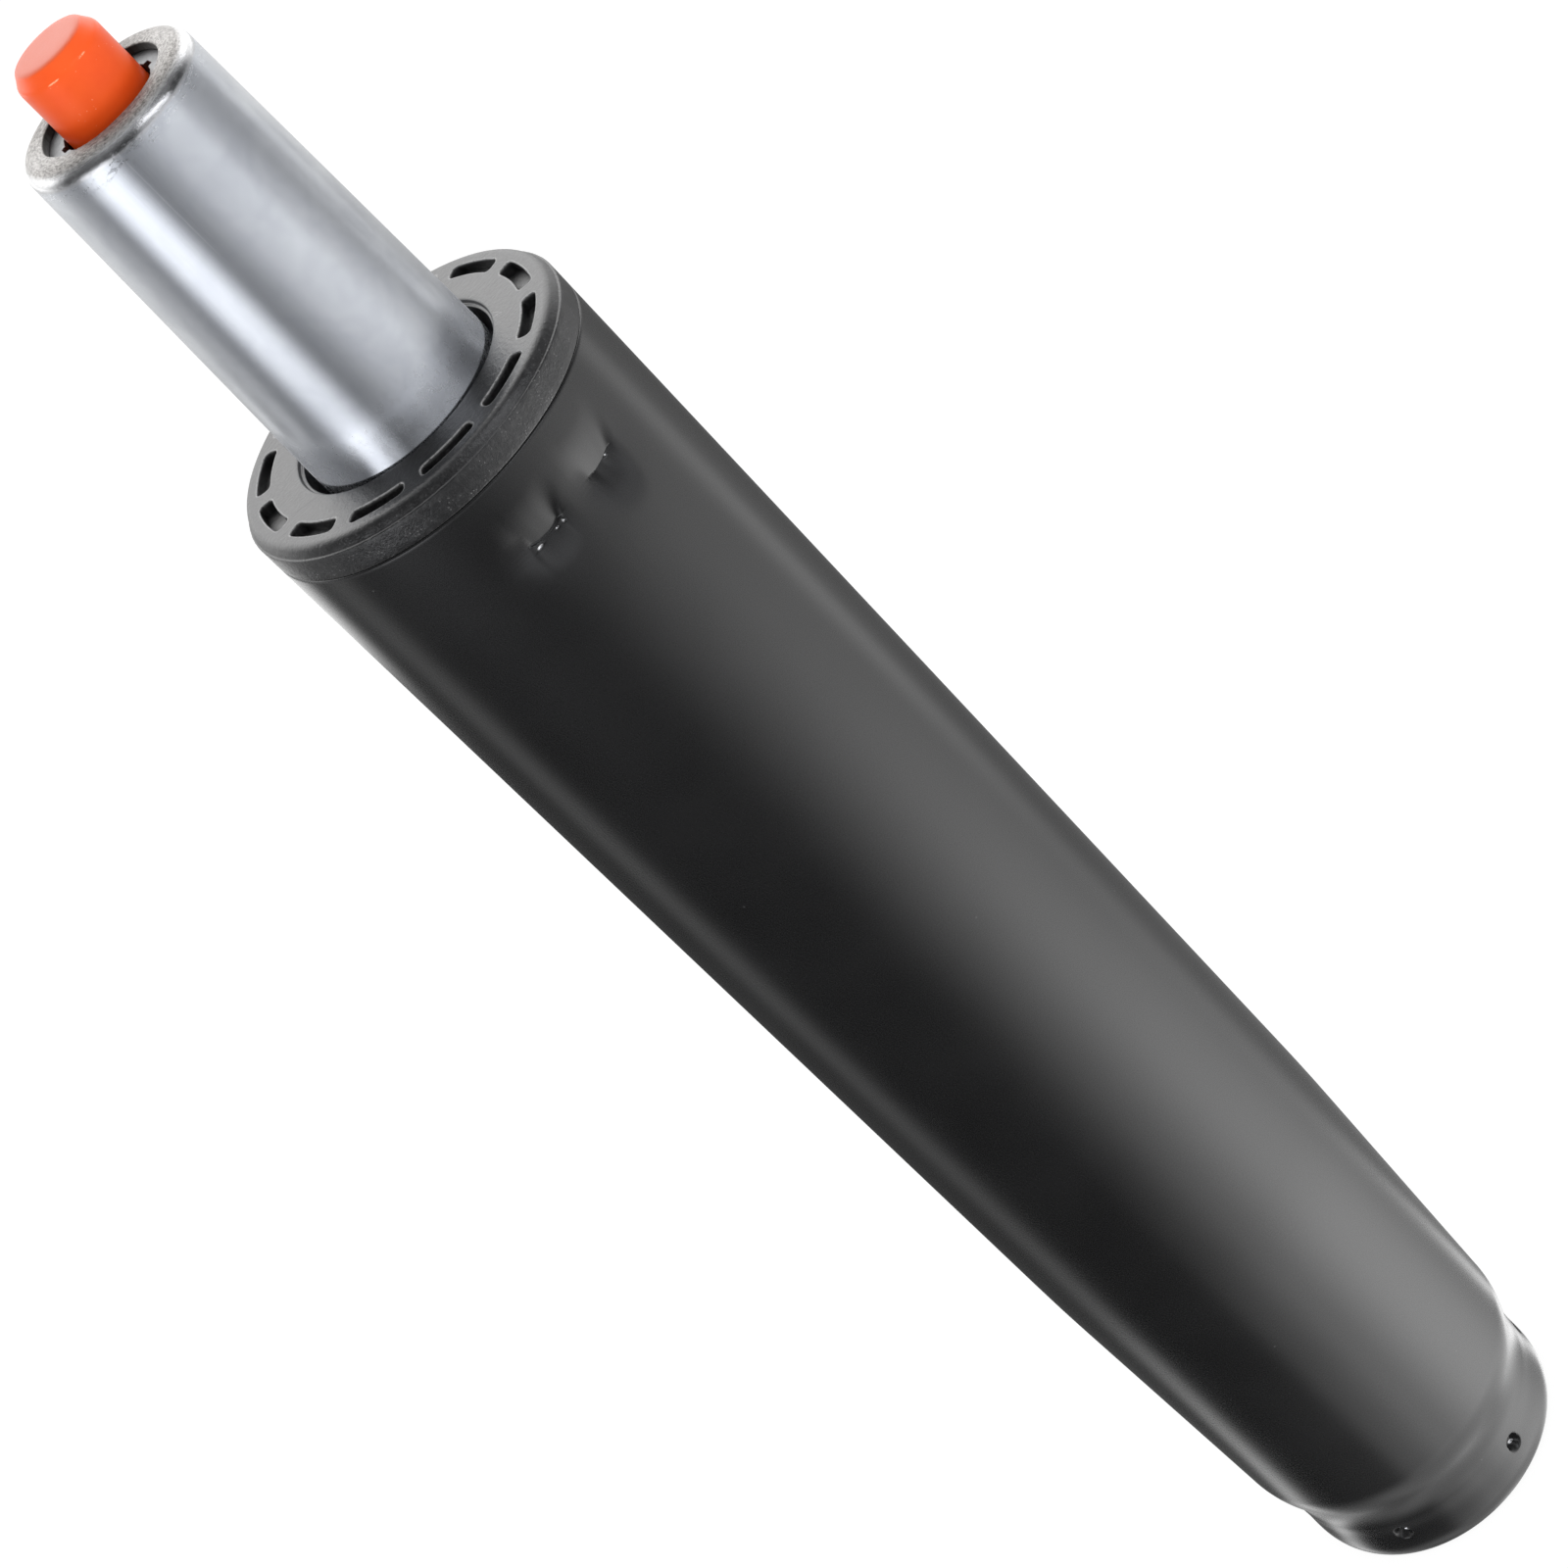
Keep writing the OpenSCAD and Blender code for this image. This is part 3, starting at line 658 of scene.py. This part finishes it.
def slot_loop(half, r1, r2, corner, grow):
    """(angle, radius) round a slot with rounded corners, from the middle of its first corner."""
    r1, r2, c = r1 - grow, r2 + grow, corner + grow
    half = half + math.degrees(grow / ((r1 + r2) / 2))
    out = []

    def arc(side, low, a, b, n):
        rc = r1 + c if low else r2 - c
        pc = side * (half - math.degrees(c / rc))
        for k in range(n):
            t = math.radians(a + (b - a) * k / n)
            r = rc + c * math.sin(t)
            out.append((pc + math.degrees(c * math.cos(t) / r), r))

    def run(p, q, n):
        for k in range(n):
            out.append((p[0] + (q[0] - p[0]) * k / n, p[1] + (q[1] - p[1]) * k / n))

    def point(side, low, a):
        rc = r1 + c if low else r2 - c
        t = math.radians(a)
        r = rc + c * math.sin(t)
        return side * (half - math.degrees(c / rc)) + math.degrees(c * math.cos(t) / r), r

    arc(-1, True, 225, 270, 2)
    run(point(-1, True, 270), point(1, True, 270), NP - 4)
    arc(1, True, 270, 315, 2)
    arc(1, True, 315, 360, 2)
    run(point(1, True, 0), point(1, False, 0), NR - 4)
    arc(1, False, 0, 45, 2)
    arc(1, False, 45, 90, 2)
    run(point(1, False, 90), point(-1, False, 90), NP - 4)
    arc(-1, False, 90, 135, 2)
    arc(-1, False, 135, 180, 2)
    run(point(-1, False, 180), point(-1, True, 180), NR - 4)
    arc(-1, True, 180, 225, 2)
    return np.array(out)


def sector_loop(ra, rb):
    out = [(-15 + 30 * k / NP, ra) for k in range(NP)]
    out += [(15, ra + (rb - ra) * k / NR) for k in range(NR)]
    out += [(15 - 30 * k / NP, rb) for k in range(NP)]
    out += [(-15, rb + (ra - rb) * k / NR) for k in range(NR)]
    return np.array(out, float)


def slotted_sector(s, turn, z, up, ra, rb, half, r1, r2, corner, edge, depths):
    """One sector of a flat ring at height z with a slot sunk into it; up is 1 for a face that looks up."""
    frame_loop, mouth = sector_loop(ra, rb), slot_loop(half, r1, r2, corner, edge)
    loops = [(frame_loop, 0.0, 0.0), (frame_loop * 0.55 + mouth * 0.45, 0.0, 0.0), (frame_loop * 0.12 + mouth * 0.88, 0.0, 0.0), (mouth, 0.0, 0.8)]
    # the mouth and rounded-edge loops of a face that looks up carry the mask for the painted rim highlight
    for a, wear_and_painted_highlight in ((22.5, 1.0), (45, 1.0), (67.5, 0.8), (90, 0.3)):
        t = math.radians(a)
        loops.append((slot_loop(half, r1, r2, corner, edge * (1 - math.sin(t))), edge * (1 - math.cos(t)), wear_and_painted_highlight))
    wall = slot_loop(half, r1, r2, corner, 0.0)
    for d in depths:
        loops.append((wall, d, 0.0))
    rings = []
    for p, d, wear_and_painted_highlight in loops:
        a = np.radians(p[:, 0] + turn)
        rings.append(s.points(np.stack([p[:, 1] * np.sin(a), -p[:, 1] * np.cos(a), np.full(len(p), z - up * d)], 1), wear_and_painted_highlight * (up > 0)))
    s.loft(rings)
    e = rings[-1]
    last = 2 * NP + NR
    for i in range(NP):
        s.f.append((e[i], e[i + 1], e[last - i - 1], e[last - i]))
    s.f.append(tuple(e[NP : NP + NR + 1]))
    s.f.append(tuple(e[last:]) + (e[0],))


def build_bush():
    s = Shape()
    cols = even(12 * NP)
    top, low = 248.8, 149.5
    ring = lambda pts: [s.ring(r, z, cols) for r, z in pts]
    for k in range(12):
        slotted_sector(s, 30.0 * k, top, 1, 19.0, 23.05, 11.2, 20.1, 22.2, 0.72, 0.19, (0.5, 1.0, 1.4, 1.6))
        slotted_sector(s, 30.0 * k, low, -1, 15.9, 21.8, 11.0, 16.5, 21.2, 0.8, 0.15, (1.0, 20.0, 50.0, 74.0))
    # top face to the hole, down the bore, lower face
    inner = [(19.0, top), (17.6, top), (16.6, top), (15.86, top), (15.72, top - 0.02), (15.62, top - 0.08), (15.56, top - 0.18), (15.52, top - 0.52),
             (15.46, top - 0.61), (15.38, top - 0.64), (15.24, top - 0.65), (15.13, top - 0.70), (15.07, top - 0.80), (15.04, top - 0.95),
             (14.70, 246.6), (14.16, 245.2), (14.08, 244.95), (14.05, 244.7), (14.05, 235), (14.05, 200), (14.05, 165), (14.05, low + 1.1),
             (14.12, low + 0.9), (14.9, low + 0.12), (15.1, low), (15.9, low)]
    s.loft(ring(inner))
    outer = [(21.8, low), (22.05, low), (22.3, low + 0.1), (22.9, low + 1.3), (23.0, low + 1.6), (23.0, 180), (23.0, 215), (23.0, 243.4),
             (23.1, TUBE_TOP), (24.70, TUBE_TOP), (24.82, TUBE_TOP + 0.03), (24.92, TUBE_TOP + 0.09), (24.98, TUBE_TOP + 0.19), (25.0, TUBE_TOP + 0.30),
             (25.0, 244.8), (25.0, 246.4), (25.0, 247.08), (24.985, 247.17), (24.94, 247.25), (24.86, 247.30),
             (24.78, 247.33), (24.72, 247.38), (24.68, 247.46), (24.65, 247.55),
             (24.36, 248.12), (24.28, 248.27), (24.16, 248.44), (24.01, 248.58), (23.84, 248.69), (23.65, 248.76), (23.40, top), (23.05, top)]
    rings = []
    for i, (r, z) in enumerate(outer):
        rag = 0.016 * ripple(cols, 300 + i, 25, 119, 30) if 247.1 < z < 247.5 else 0.0
        rings.append(s.ring(np.minimum(r + rag, 25.0), z, cols))
    s.loft(rings)
    return s.piece("bush_body", "column", "guide_bush", MATS["bush_plastic"])


# ---------------------------------------------------------------- gas spring

GAS_R, GAS_RI, GAS_LOW, GAS_TOP, SEAT_Z = 14.0, 12.5, 28.7, 301.5, 249.0
TOP_R = GAS_R - (GAS_TOP - 2.2 - SEAT_Z) * SLOPE


def build_gas_tube():
    s = Shape()
    base, fine = even(160), even(480)
    rings = [s.ring(9.2, GAS_LOW, base), s.ring(11.0, GAS_LOW, base)]
    rings += [s.ring(GAS_R - 1.2 + 1.2 * math.sin(t), GAS_LOW + 1.2 - 1.2 * math.cos(t), base) for t in np.radians(np.linspace(0, 90, 9))]
    rings += [s.ring(GAS_R, z, base) for z in (40, 70, 100, 130, 160, 190, 220, 240, 247.5)]
    rings += [s.ring(GAS_R - max(0.0, z - SEAT_Z) * SLOPE, z, base) for z in (249.0, 251, 255, 260, 266, 272, 278, 284, 290, 294, 296.6)]
    s.loft(rings)
    last = rings[-1]
    # the rolled lip: worked metal, smooth on the shoulder and ragged on the flat
    lip = []
    wob = ripple(fine, 7, 2, 9, 5)
    for i, z in enumerate((297.2, 297.9, 298.6)):
        lip.append(s.ring(TOP_R + (299.3 - z) * SLOPE, z, fine))
    for i, a in enumerate(np.linspace(0, 90, 19)):
        t = math.radians(a)
        rough = (0.002 + 0.010 * ease(a, 35, 90)) * ripple(fine, 40 + i, 20, 130, 24)
        r = TOP_R - 2.2 + 2.2 * math.cos(t) + 0.02 * wob * ease(a, 20, 60) + rough * math.cos(t)
        z = GAS_TOP - 2.2 + 2.2 * math.sin(t) - np.abs(rough) * math.sin(t) - 0.012 * math.sin(t)
        lip.append(s.ring(r, z, fine))
    hole = 8.95 + 0.05 * ripple(fine, 11, 2, 14, 8) + 0.012 * ripple(fine, 12, 30, 110, 20)
    for i, f in enumerate(np.linspace(0.12, 1.0, 8)):
        rough = 0.014 * ripple(fine, 80 + i, 20, 150, 28)
        r = (TOP_R - 2.2) * (1 - f) + (hole + 0.28) * f
        lip.append(s.ring(r, GAS_TOP - 0.01 - np.abs(rough) - 0.03 * f * f, fine))
    for a in (25, 50, 75, 90):
        t = math.radians(a)
        lip.append(s.ring(hole + 0.28 - 0.28 * math.sin(t), GAS_TOP - 0.04 - 0.28 * (1 - math.cos(t)), fine))
    lip.append(s.ring(hole + 0.01, 300.75, fine))
    lip.append(s.ring(np.maximum(hole, 8.9), 300.25, fine))
    s.zip(last, base, lip[0], fine)
    s.loft(lip)
    inner = [(9.1, 300.2), (11.0, 300.2), (11.21, 300.0), (GAS_RI - (280 - SEAT_Z) * SLOPE, 280), (GAS_RI, SEAT_Z), (GAS_RI, 200), (GAS_RI, 140), (GAS_RI, 80),
             (GAS_RI, 30.2), (12.3, 30.0), (9.2, 30.0), (9.0, 29.8), (9.0, 28.9), (9.2, GAS_LOW)]
    ins = [s.ring(r, z, base) for r, z in inner]
    s.zip(lip[-1], fine, ins[0], base)
    s.loft(ins)
    return s.piece("gas_tube", "gas_spring", "pressure_tube", MATS["zinc_steel"])


def build_cap():
    """Washer under the rolled lip, with four notches in its hole."""
    s = Shape()
    cols = even(960)
    d = np.min([np.abs(gap(cols, 95.0 + 90.0 * k)) for k in range(4)], axis=0)
    notch = 1.0 - ease(d, 5.9, 7.6)
    hole = 6.65 + 0.58 * notch + 0.02 * ripple(cols, 21, 6, 60, 16)
    lo, hi = 298.72, 300.16
    rings = []
    for a in (0, 30, 60, 90):
        t = math.radians(a)
        rings.append(s.ring(hole + 0.14 * (1 - math.cos(t)), hi - 0.14 * (1 - math.sin(t)), cols))
    top = [s.ring(hole * (1 - f) + 11.0 * f, hi - 0.006 * np.abs(ripple(cols, 60 + i, 20, 110, 18)), cols) for i, f in enumerate((0.12, 0.25, 0.4, 0.6, 0.8, 0.95))]
    side = [s.ring(11.05, hi - 0.02, cols), s.ring(11.1, hi - 0.1, cols), s.ring(11.1, lo + 0.1, cols), s.ring(11.0, lo, cols)]
    under = [s.ring(hole + 0.14, lo, cols), s.ring(hole + 0.04, lo + 0.04, cols), s.ring(hole, lo + 0.14, cols)]
    s.loft(rings + top + side + under, closed=True)
    return s.piece("cap_washer", "gas_spring", "top_washer", MATS["cap_steel"])


def build_button():
    s = Shape()
    cols = even(240)
    R, top, low = 6.15, 310.3, 297.3
    profile = [(2.05, 303.3), (2.02, 303.2), (2.02, 297.5), (2.15, low), (5.6, low), (5.85, low + 0.06), (6.06, low + 0.2), (R - 0.01, low + 0.45),
               (R, low + 0.7), (R, 299.5), (R, 301.5), (R, 303.5), (R, 305.2), (R, 306.5), (R, 307.4), (R - 0.004, 307.85), (R - 0.025, 308.15), (R - 0.065, 308.38), (R - 0.125, 308.58), (R - 0.20, 308.74)]
    profile += [(R - 0.20 - 0.76 * f, 308.74 + 1.12 * f) for f in (0.15, 0.35, 0.55, 0.75, 0.92, 1.0)]
    profile += [(5.13, 309.96), (5.05, 310.05), (4.94, 310.13), (4.80, 310.19), (4.64, 310.235), (4.44, 310.268), (4.1, 310.29), (3.6, top), (2.4, top), (1.2, top - 0.006)]
    # short ridges of mould flash where the rounded edge begins; their mask carries a lighter colour, a painted
    # highlight
    flash = ((-23.0, 308.35, 9.0), (20.0, 308.45, 8.0), (157.0, 308.35, 8.0), (-164.0, 308.4, 7.0))
    rings = []
    for r, z in profile:
        bump = np.zeros(len(cols))
        for c, zc, wide in flash:
            bump += np.exp(-((gap(cols, c) / wide) ** 4) - ((z - zc) / 0.13) ** 2)
        on = 1.0 if 305.4 < z < 309.4 else 0.0
        rings.append(s.ring(r + 0.05 * on * np.clip(bump, 0, 1) * (1 if r < 6.1 else 0), z, cols, np.clip(bump, 0, 1) * on))
    s.tip(rings[0], 303.3)
    s.loft(rings)
    s.tip(rings[-1], top - 0.010)
    return s.piece("push_button", "button", "release_button", MATS["button_plastic"])


# ---------------------------------------------------------------- lower end


def turned_piece(name, body, node, slot, corners, cols=96, n=4):
    s = Shape()
    a = even(cols)
    s.loft([s.ring(r, z, a) for r, z in rounded(corners, n)], closed=True)
    return s.piece(name, body, node, MATS[slot])


def build_lower_end():
    turned_piece("end_plate", "column", "base_plate", "plate_steel", [
        (5.05, 3.5, 0.5), (9.6, 3.5, 0), (14.2, 3.5, 0.1), (14.7, 3.75, 0.1), (18.3, 3.75, 0.1), (18.8, 3.5, 0.1), (19.7, 3.5, 0.45),
        (19.7, 6.1, 0.1), (19.1, 6.9, 0.2), (19.7, 7.7, 0.1), (19.7, 8.5, 0.3), (5.05, 8.5, 0.3)], 160)
    turned_piece("end_washer", "rod", "base_washer", "washer_steel", [
        (5.1, 2.4, 0.15), (10.0, 2.4, 0.32), (10.0, 3.4, 0.12), (5.1, 3.4, 0.12)], 128)
    # open ring that snaps into the rod's groove
    s = Shape()
    a0, a1 = 30.0, 330.0
    cols = np.linspace(a0, a1, 101)
    sect = rounded([(4.12, 1.52, 0.15), (7.6, 1.52, 0.25), (7.6, 2.38, 0.25), (4.12, 2.38, 0.15)], 4)
    arr = []
    for k, c in enumerate(cols):
        # the open ends are rounded off in plan
        d = min(c - a0, a1 - c)
        swell = math.sqrt(max(0.0, 1 - (1 - min(1.0, d / 14.0)) ** 2))
        mid, hw = 5.86, 1.74
        f = 0.12 + 0.88 * swell
        p = [(mid + (r - mid) * f, 1.95 + (z - 1.95) * (0.35 + 0.65 * min(1.0, d / 2.0))) for r, z in sect]
        t = math.radians(c)
        arr.append(s.points([(r * math.sin(t), -r * math.cos(t), z) for r, z in p]))
    s.loft(arr)
    s.f.append(tuple(arr[0]))
    s.f.append(tuple(arr[-1][::-1]))
    s.piece("end_clip", "rod", "retaining_clip", MATS["clip_steel"])


def build_balls():
    """Bearing balls: ten spheres on one ring."""
    s = Shape()
    lo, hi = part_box("bearing_balls")
    zc, r = (lo[2] + hi[2]) / 2 / MM, (hi[2] - lo[2]) / 2 / MM
    lon = np.radians(even(48))
    for k in range(10):
        cx, cy = 9.1 * math.cos(math.radians(36 * k)), 9.1 * math.sin(math.radians(36 * k))
        rings = [s.points(np.stack([cx + r * math.cos(b) * np.cos(lon), cy + r * math.cos(b) * np.sin(lon), np.full(48, zc + r * math.sin(b))], 1))
                 for b in np.radians(np.arange(-82.5, 83, 7.5))]
        s.loft(rings)
        for ring, z in ((rings[0], zc - r), (rings[-1], zc + r)):
            t = s.points([[cx, cy, z]])[0]
            s.f += [(ring[j], ring[(j + 1) % 48], t) for j in range(48)]
    return s.piece("steel_balls", "bearing_cage", "bearing_balls", MATS["ball_steel"])


build_tube()
build_bush()
build_gas_tube()
build_cap()
build_button()
build_lower_end()
build_balls()

# ---------------------------------------------------------------- camera

scene = bpy.context.scene
cam = bpy.data.objects.new("camera", bpy.data.cameras.new("camera"))
scene.collection.objects.link(cam)
scene.camera = cam
fwd = Vector((0.000671, 0.84541, -0.534117)).normalized()
right = Vector((0.70915, -0.376986, -0.595808))
right = (right - fwd * right.dot(fwd)).normalized()
up = right.cross(fwd)
rot = Matrix((right, up, -fwd)).transposed()
cam.matrix_world = Matrix.Translation((0.0, -0.451957, 0.454477)) @ rot.to_4x4()
cam.data.sensor_width = 36.0
cam.data.lens = 92.118
cam.data.clip_start = 0.01
cam.data.clip_end = 50.0

# ---------------------------------------------------------------- floor and light

scene.view_settings.view_transform = "Standard"
scene.view_settings.look = "None"
scene.view_settings.exposure = 0.0
scene.view_settings.gamma = 1.0

world = bpy.data.worlds.new("studio")
scene.world = world
world.use_nodes = True
back = next(n for n in world.node_tree.nodes if n.type == "BACKGROUND")
back.inputs["Color"].default_value = (1, 1, 1, 1)
back.inputs["Strength"].default_value = 1.0
world.cycles_visibility.glossy = False


def flat_mesh(name, verts, faces, mat):
    me = bpy.data.meshes.new(name)
    me.from_pydata(verts, [], faces)
    me.materials.append(mat)
    o = bpy.data.objects.new(name, me)
    scene.collection.objects.link(o)
    return o


def floor_material():
    m, t = material("floor")
    glow = t.node("ShaderNodeEmission")
    glow.inputs["Color"].default_value = (1, 1, 1, 1)
    glow.inputs["Strength"].default_value = 0.90
    matt = t.node("ShaderNodeBsdfDiffuse")
    matt.inputs["Color"].default_value = (0.16, 0.16, 0.16, 1)
    both = t.node("ShaderNodeAddShader")
    t.put(both.inputs[0], glow.outputs[0])
    t.put(both.inputs[1], matt.outputs[0])
    clear = t.node("ShaderNodeBsdfTransparent")
    side = t.node("ShaderNodeNewGeometry")
    mix = t.node("ShaderNodeMixShader")
    t.put(mix.inputs[0], side.outputs["Backfacing"])
    t.put(mix.inputs[1], both.outputs[0])
    t.put(mix.inputs[2], clear.outputs[0])
    out = t.node("ShaderNodeOutputMaterial")
    t.put(out.inputs["Surface"], mix.outputs[0])
    return m


floor = flat_mesh("floor", [(-6, -6, 0), (6, -6, 0), (6, 6, 0), (-6, 6, 0)], [(0, 1, 2, 3)], floor_material())
floor.visible_glossy = False


def upper_light(t, az, strip=1.0):
    """Brightness that the bright tube mirrors, by the angle round the axis."""
    side = az.abs()
    v = 0.45 + t.step((az + 55.0).abs(), 31, 4) * strip * 1.92 + t.step((az - 26.0).abs(), 70, 8) * 0.68
    v = v + t.step((az - 119.0).abs(), 13, 4) * 0.26 + t.step(side, 92, 146) * 0.34 - t.step(side, 148, 168) * 0.12
    return v + t.step((az + 102.0).abs(), 40, 8) * 0.13 - t.step((az + 18.0).abs(), 16, 4) * 0.05


def tent_material():
    """Light tent: soft boxes as areas of brightness on its wall. Angles as above, heights in millimetres."""
    m, t = material("tent")
    t.mm()
    az, h = t.phi, t.z
    side = az.abs()
    near = t.step(h, -240, -400)
    nearer = t.step(h, -270, -400)
    deep = t.step(h, -383, -412)
    foot = t.step(h, -345, -395)
    # lower wall: the tube's light
    turn = az - t.step(h, -150, 20) * 16.0
    key = t.step(turn + t.step(h, -200, -300) * t.step(az, 20, -35) * -6.0, -31, 54) * t.step(turn, 44, 138, 1.0, 0.07)
    edge = t.step((az + 12.0).abs(), 27, 15) * (t.step(h, -180, -285) * 0.50 + t.step(h, -300, -370) * 0.50 + t.step(h, -372, -400) * 0.45)
    left = t.step((az + 111.0 + near * 12.0 + foot * 7.0).abs(), 13.5, 3.5) * (0.50 + t.step(h, -150, -40) * 0.10 + near * 1.25 + foot * 0.5 + deep * 0.4)
    right = t.step((az - 110.0 - nearer * 36.0).abs(), 12, 3) * (0.29 + t.step(h, -130, -45) * 0.6 + nearer * 2.3)
    rear = t.step(side, 118, 130) * 0.085 + t.step(az, 142, 176) * 0.07 + t.step(az, -142, -176) * 0.03 + t.step(h, -200, -340) * t.step(side, 136, 160) * 0.10
    fall = t.step(h, -440, 90, 1.62, 0.46)
    low = key * 2.8 * fall + edge + left + right + rear + deep * (t.step(side, 126, 140) * 0.48 + t.step(side, 156, 166) * 0.22 + t.step(az, 104, 124) * 0.45)
    # floor of the tent
    pit = t.step(h, -430, -560)
    ground = 0.95 - t.step(az, -135, -160) * 0.5 + t.step(az, -45, 60) * 0.85 - t.step((az + 104.0).abs(), 44, 12) * 0.50
    away = t.step(side, 60, 100) * 0.38
    ground = ground * (1.08 - t.step(t.r, 95, 130) * (away + 0.14) + t.step(t.r, 240, 330) * (away + 0.10))
    low = low * (1.0 - pit) + ground * pit
    blob = t.step(az, -132, -146) * t.step(h, 18, 40) * t.step(h, 84, 66)
    # upper wall: the light of the bright tube
    pick = t.step(h, 68, 106)
    dim = t.step(h, 150, 95) * (0.12 + t.step(az, 5, 40) * 0.22)
    wall = low * (1.0 - pick) + (upper_light(t, az, t.step(h, 84, 124)) * (1.0 - dim) + t.step(side, 105, 125) * t.step(h, 95, 160) * 0.04 + t.step(side, 108, 128) * t.step(h, 196, 230) * 1.4 + t.step((az - 84.0).abs(), 30, 8) * t.step(h, 140, 178) * 0.15) * pick + blob * 1.9
    # roof: dark over the front but for one patch, bright behind
    roof = t.step(h - t.step(side, 100, 140) * 45.0 - t.step((az + 54.0).abs(), 36, 16) * 75.0, 180, 250)
    bound = h - 590.0 + t.math("MINIMUM", az, 66.0) * 4.5
    patch = t.step(bound.abs(), 100, 35) * t.step((az - 33.0).abs(), 28, 12) * 2.9 + t.step(bound, 50, -25) * t.step((az - 28.0).abs(), 32, 14) * 0.4
    over = 0.03 + t.step(h, 330, 620) * 0.15 + t.step(h, 655, 745) * 0.9 + t.step(side, 75, 115) * 0.25 + t.step(az, 80, 115) * 0.25 + patch
    light = wall * (1.0 - roof) + (over + t.step(t.y, 30, 300) * (t.step(h, 300, 405, 0.9, 2.9) - t.step(h, 428, 462) * 0.45)) * roof
    e = t.node("ShaderNodeEmission")
    t.put(e.inputs["Strength"], light)
    t.put(e.inputs["Color"], t.blend(t.step(side, 135, 75) * pick, (1.0, 1.0, 1.0), (0.975, 0.99, 1.03)))
    out = t.node("ShaderNodeOutputMaterial")
    t.put(out.inputs["Surface"], e.outputs[0])
    return m


def painted_reflection_card_material():
    """Small card that lies on the collar and glows, seen only in reflections: it carries the tent's pattern on to the
    foot of the bright tube as a painted reflection.
    """
    m, t = material("painted_reflection_card")
    t.mm()
    bend = 0.043 + t.step(t.phi.abs(), 60, 125) * 0.022
    az = t.phi * 2.0 / (1.0 + (t.r - 14.0) * bend)
    az = t.math("MAXIMUM", t.math("MINIMUM", az, 180.0), -180.0)
    e = t.node("ShaderNodeEmission")
    t.put(e.inputs["Strength"], upper_light(t, az) * 0.36 + t.step((az + 63.0).abs(), 17, 3) * 0.70)
    e.inputs["Color"].default_value = (0.975, 0.99, 1.03, 1.0)
    clear = t.node("ShaderNodeBsdfTransparent")
    side = t.node("ShaderNodeNewGeometry")
    mix = t.node("ShaderNodeMixShader")
    t.put(mix.inputs[0], side.outputs["Backfacing"])
    t.put(mix.inputs[1], e.outputs[0])
    t.put(mix.inputs[2], clear.outputs[0])
    out = t.node("ShaderNodeOutputMaterial")
    t.put(out.inputs["Surface"], mix.outputs[0])
    return m


def glossy_only(o):
    o.visible_camera = False
    o.visible_diffuse = False
    o.visible_transmission = False
    o.visible_volume_scatter = False
    o.visible_shadow = False


def build_tent():
    v, f, n = [], [], 96
    rows = [(0.02, -0.62), (0.2, -0.60), (0.36, -0.56), (0.4, -0.48), (0.4, -0.2), (0.4, 0.1), (0.4, 0.45), (0.36, 0.62), (0.2, 0.74), (0.02, 0.78)]
    for r, z in rows:
        for j in range(n):
            a = 2 * math.pi * j / n
            v.append((r * math.sin(a), -r * math.cos(a), z))
    for i in range(len(rows) - 1):
        for j in range(n):
            k = (j + 1) % n
            f.append((i * n + j, (i + 1) * n + j, (i + 1) * n + k, i * n + k))
    f.append(tuple(range(n)))
    f.append(tuple((len(rows) - 1) * n + j for j in reversed(range(n))))
    glossy_only(flat_mesh("tent", v, f, tent_material()))
    steps = ((14.15, 248.20), (15.42, 248.24), (15.48, 248.93), (25.1, 248.95))
    ring = [(r * math.sin(2 * math.pi * j / n) * MM, -r * math.cos(2 * math.pi * j / n) * MM, z * MM) for r, z in steps for j in range(n)]
    faces = [(i * n + j, (i + 1) * n + j, (i + 1) * n + (j + 1) % n, i * n + (j + 1) % n) for i in range(3) for j in range(n)]
    glossy_only(flat_mesh("painted_reflection_card", ring, faces, painted_reflection_card_material()))


build_tent()

fill = bpy.data.objects.new("fill", bpy.data.lights.new("fill", "AREA"))
scene.collection.objects.link(fill)
fill.data.shape = "DISK"
fill.data.size = 0.7
fill.data.energy = 2.2
fill.location = (0.18, -0.95, 0.42)
fill.rotation_euler = (Vector((0, 0, 0.24)) - fill.location).to_track_quat("-Z", "Y").to_euler()
fill.visible_glossy = False
fill.visible_camera = False
